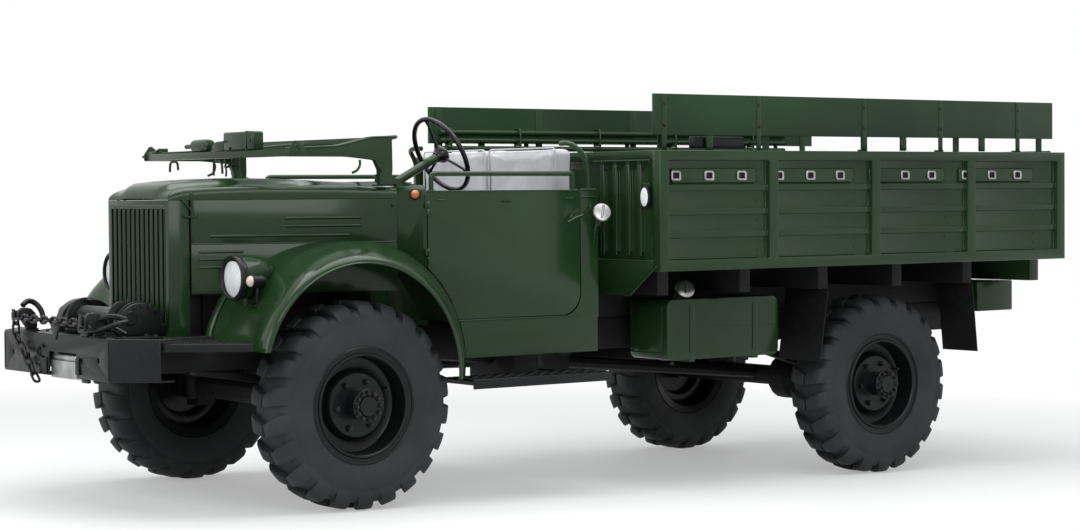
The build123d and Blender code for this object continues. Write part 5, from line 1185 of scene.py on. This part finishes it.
# the rest wears the solids' own shapes, with rounded edges
dressing = {
    greenEnamel: {"radiator_shell": 2, "bonnet": 3, "bonnet_sides": 1.5, "fenders": 3, "headlamps": 2,
                  "cowl": 3,
                  "cab_tub": 2.5, "door_left": 4, "door_right": 4, "grab_rail_left": 0, "grab_rail_right": 0,
                  "windscreen_frame": 3, "steering_column": 0, "fuel_tank": 3, "bed_floor": 3, "bed_front": 3,
                  "bed_sides": 4, "tailgate": 3, "bows": 0, "rear_boxes": 8},
    blackEnamel: {"front_bumper": 4, "winch_frame": 4, "winch_drum": 2, "running_boards": 3,
                  "front_steps": 3},
    chassisBlack: {"frame": 4, "radiator": 3, "engine": 10, "driveline": 4, "exhaust": 4, "front_axle": 4,
                   "rear_axle": 4,
                   "knuckle_left": 3, "knuckle_right": 3, "tie_rod": 2, "leaf_springs": 2, "mudguards": 1.5,
                   "tow_pintle": 3},
    paintedBoard: {"bed_racks": 2},
    bareSteel: {"fairlead": 2},
    forgedChain: {"tow_chain": 2},
    clearGlass: {"windscreen_glass": 0.5},
    lampGlassPaintedReflection: {"headlamp_glass": 1},
    seatCloth: {"seat_cushion": 20, "seat_back": 20},
    blackBakelite: {"steering_wheel": 3},
}
for material, nodes in dressing.items():
    for node, edge in nodes.items():
        if not frame["nodes"][node].hide_render:
            piece = dressed(node, material, edge)
            if node == "bed_floor":
                darkUnderside(piece, 1.076, -1.66, chassisBlack)
print("stage: solids dressed")

# floor and light
stage = {"reach": 60.0, "fadeFrom": 3.6, "fadeTo": 7.5, "floorColour": "#e9e9e8"}
bpy.ops.mesh.primitive_plane_add(size=stage["reach"] * 2, location=(0, 0, 0))
floor = bpy.context.object
floor.name = "studioFloor"
floorMaterial, floorTree = newMaterial("studioFloor")
floorPlace = addNode(floorTree, "ShaderNodeTexCoord").outputs["Object"]
distance = addNode(floorTree, "ShaderNodeVectorMath", {0: floorPlace}, operation="LENGTH").outputs["Value"]
floorShader = addNode(floorTree, "ShaderNodeBsdfPrincipled", {"Base Color": hexColour(stage["floorColour"]),
                                                              "Roughness": 0.6})
whiteShader = addNode(floorTree, "ShaderNodeEmission", {"Color": (1, 1, 1, 1), "Strength": 1.0})
rays = addNode(floorTree, "ShaderNodeLightPath").outputs
straight = addNode(floorTree, "ShaderNodeMath", {0: rays["Is Camera Ray"], 1: rays["Is Glossy Ray"]},
                   operation="MAXIMUM").outputs[0]
cameraRay = addNode(floorTree, "ShaderNodeMath", {0: straight, 1: rays["Is Transmission Ray"]},
                    operation="MAXIMUM").outputs[0]
away = addNode(floorTree, "ShaderNodeMapRange", {"Value": distance, "From Min": stage["fadeFrom"],
                                                 "From Max": stage["fadeTo"], "To Min": 0.35}).outputs[0]
fade = addNode(floorTree, "ShaderNodeMath", {0: away, 1: cameraRay}, operation="MULTIPLY").outputs[0]
mixed = addNode(floorTree, "ShaderNodeMixShader", {0: fade, 1: floorShader.outputs[0],
                                                   2: whiteShader.outputs[0]})
addNode(floorTree, "ShaderNodeOutputMaterial", {"Surface": mixed.outputs[0]})
floor.data.materials.append(floorMaterial)

world = bpy.data.worlds.new("studioWorld")
bpy.context.scene.world = world
world.use_nodes = True
worldTree = world.node_tree
worldTree.nodes.clear()
paths = addNode(worldTree, "ShaderNodeLightPath")
through = addNode(worldTree, "ShaderNodeMath", {0: paths.outputs["Is Camera Ray"],
                                                1: paths.outputs["Is Transmission Ray"]},
                  operation="MAXIMUM").outputs[0]
seen = addNode(worldTree, "ShaderNodeMath", {0: through, 1: paths.outputs["Is Glossy Ray"]},
               operation="MAXIMUM").outputs[0]
ambient = addNode(worldTree, "ShaderNodeBackground", {"Color": hexColour("#e6edf0"), "Strength": 0.5})
white = addNode(worldTree, "ShaderNodeBackground", {"Color": (1, 1, 1, 1), "Strength": 1.0})
sky = addNode(worldTree, "ShaderNodeMixShader", {0: seen, 1: ambient.outputs[0], 2: white.outputs[0]})
addNode(worldTree, "ShaderNodeOutputWorld", {"Surface": sky.outputs[0]})

lights = {
    "overhead": {"place": (0.5, 0.5, 6.0), "aim": (0, 0, 0.5), "size": (8.0, 5.0), "power": 480},
    "cameraSide": {"place": (4.0, 7.5, 4.0), "aim": (0, 0.5, 0.8), "size": (6.0, 3.0), "power": 190},
    "front": {"place": (8.0, -1.0, 3.0), "aim": (1.5, 0, 1.0), "size": (4.0, 3.0), "power": 120},
}
for name, light in lights.items():
    lamp = bpy.data.lights.new(name, "AREA")
    lamp.shape = "RECTANGLE"
    lamp.size, lamp.size_y = light["size"]
    lamp.energy = light["power"]
    holder = bpy.data.objects.new(name, lamp)
    bpy.context.collection.objects.link(holder)
    aim = Vector(light["aim"]) - Vector(light["place"])
    holder.matrix_world = Matrix.Translation(light["place"]) @ aim.to_track_quat("-Z", "Y").to_matrix().to_4x4()
print("stage: floor and lights set")
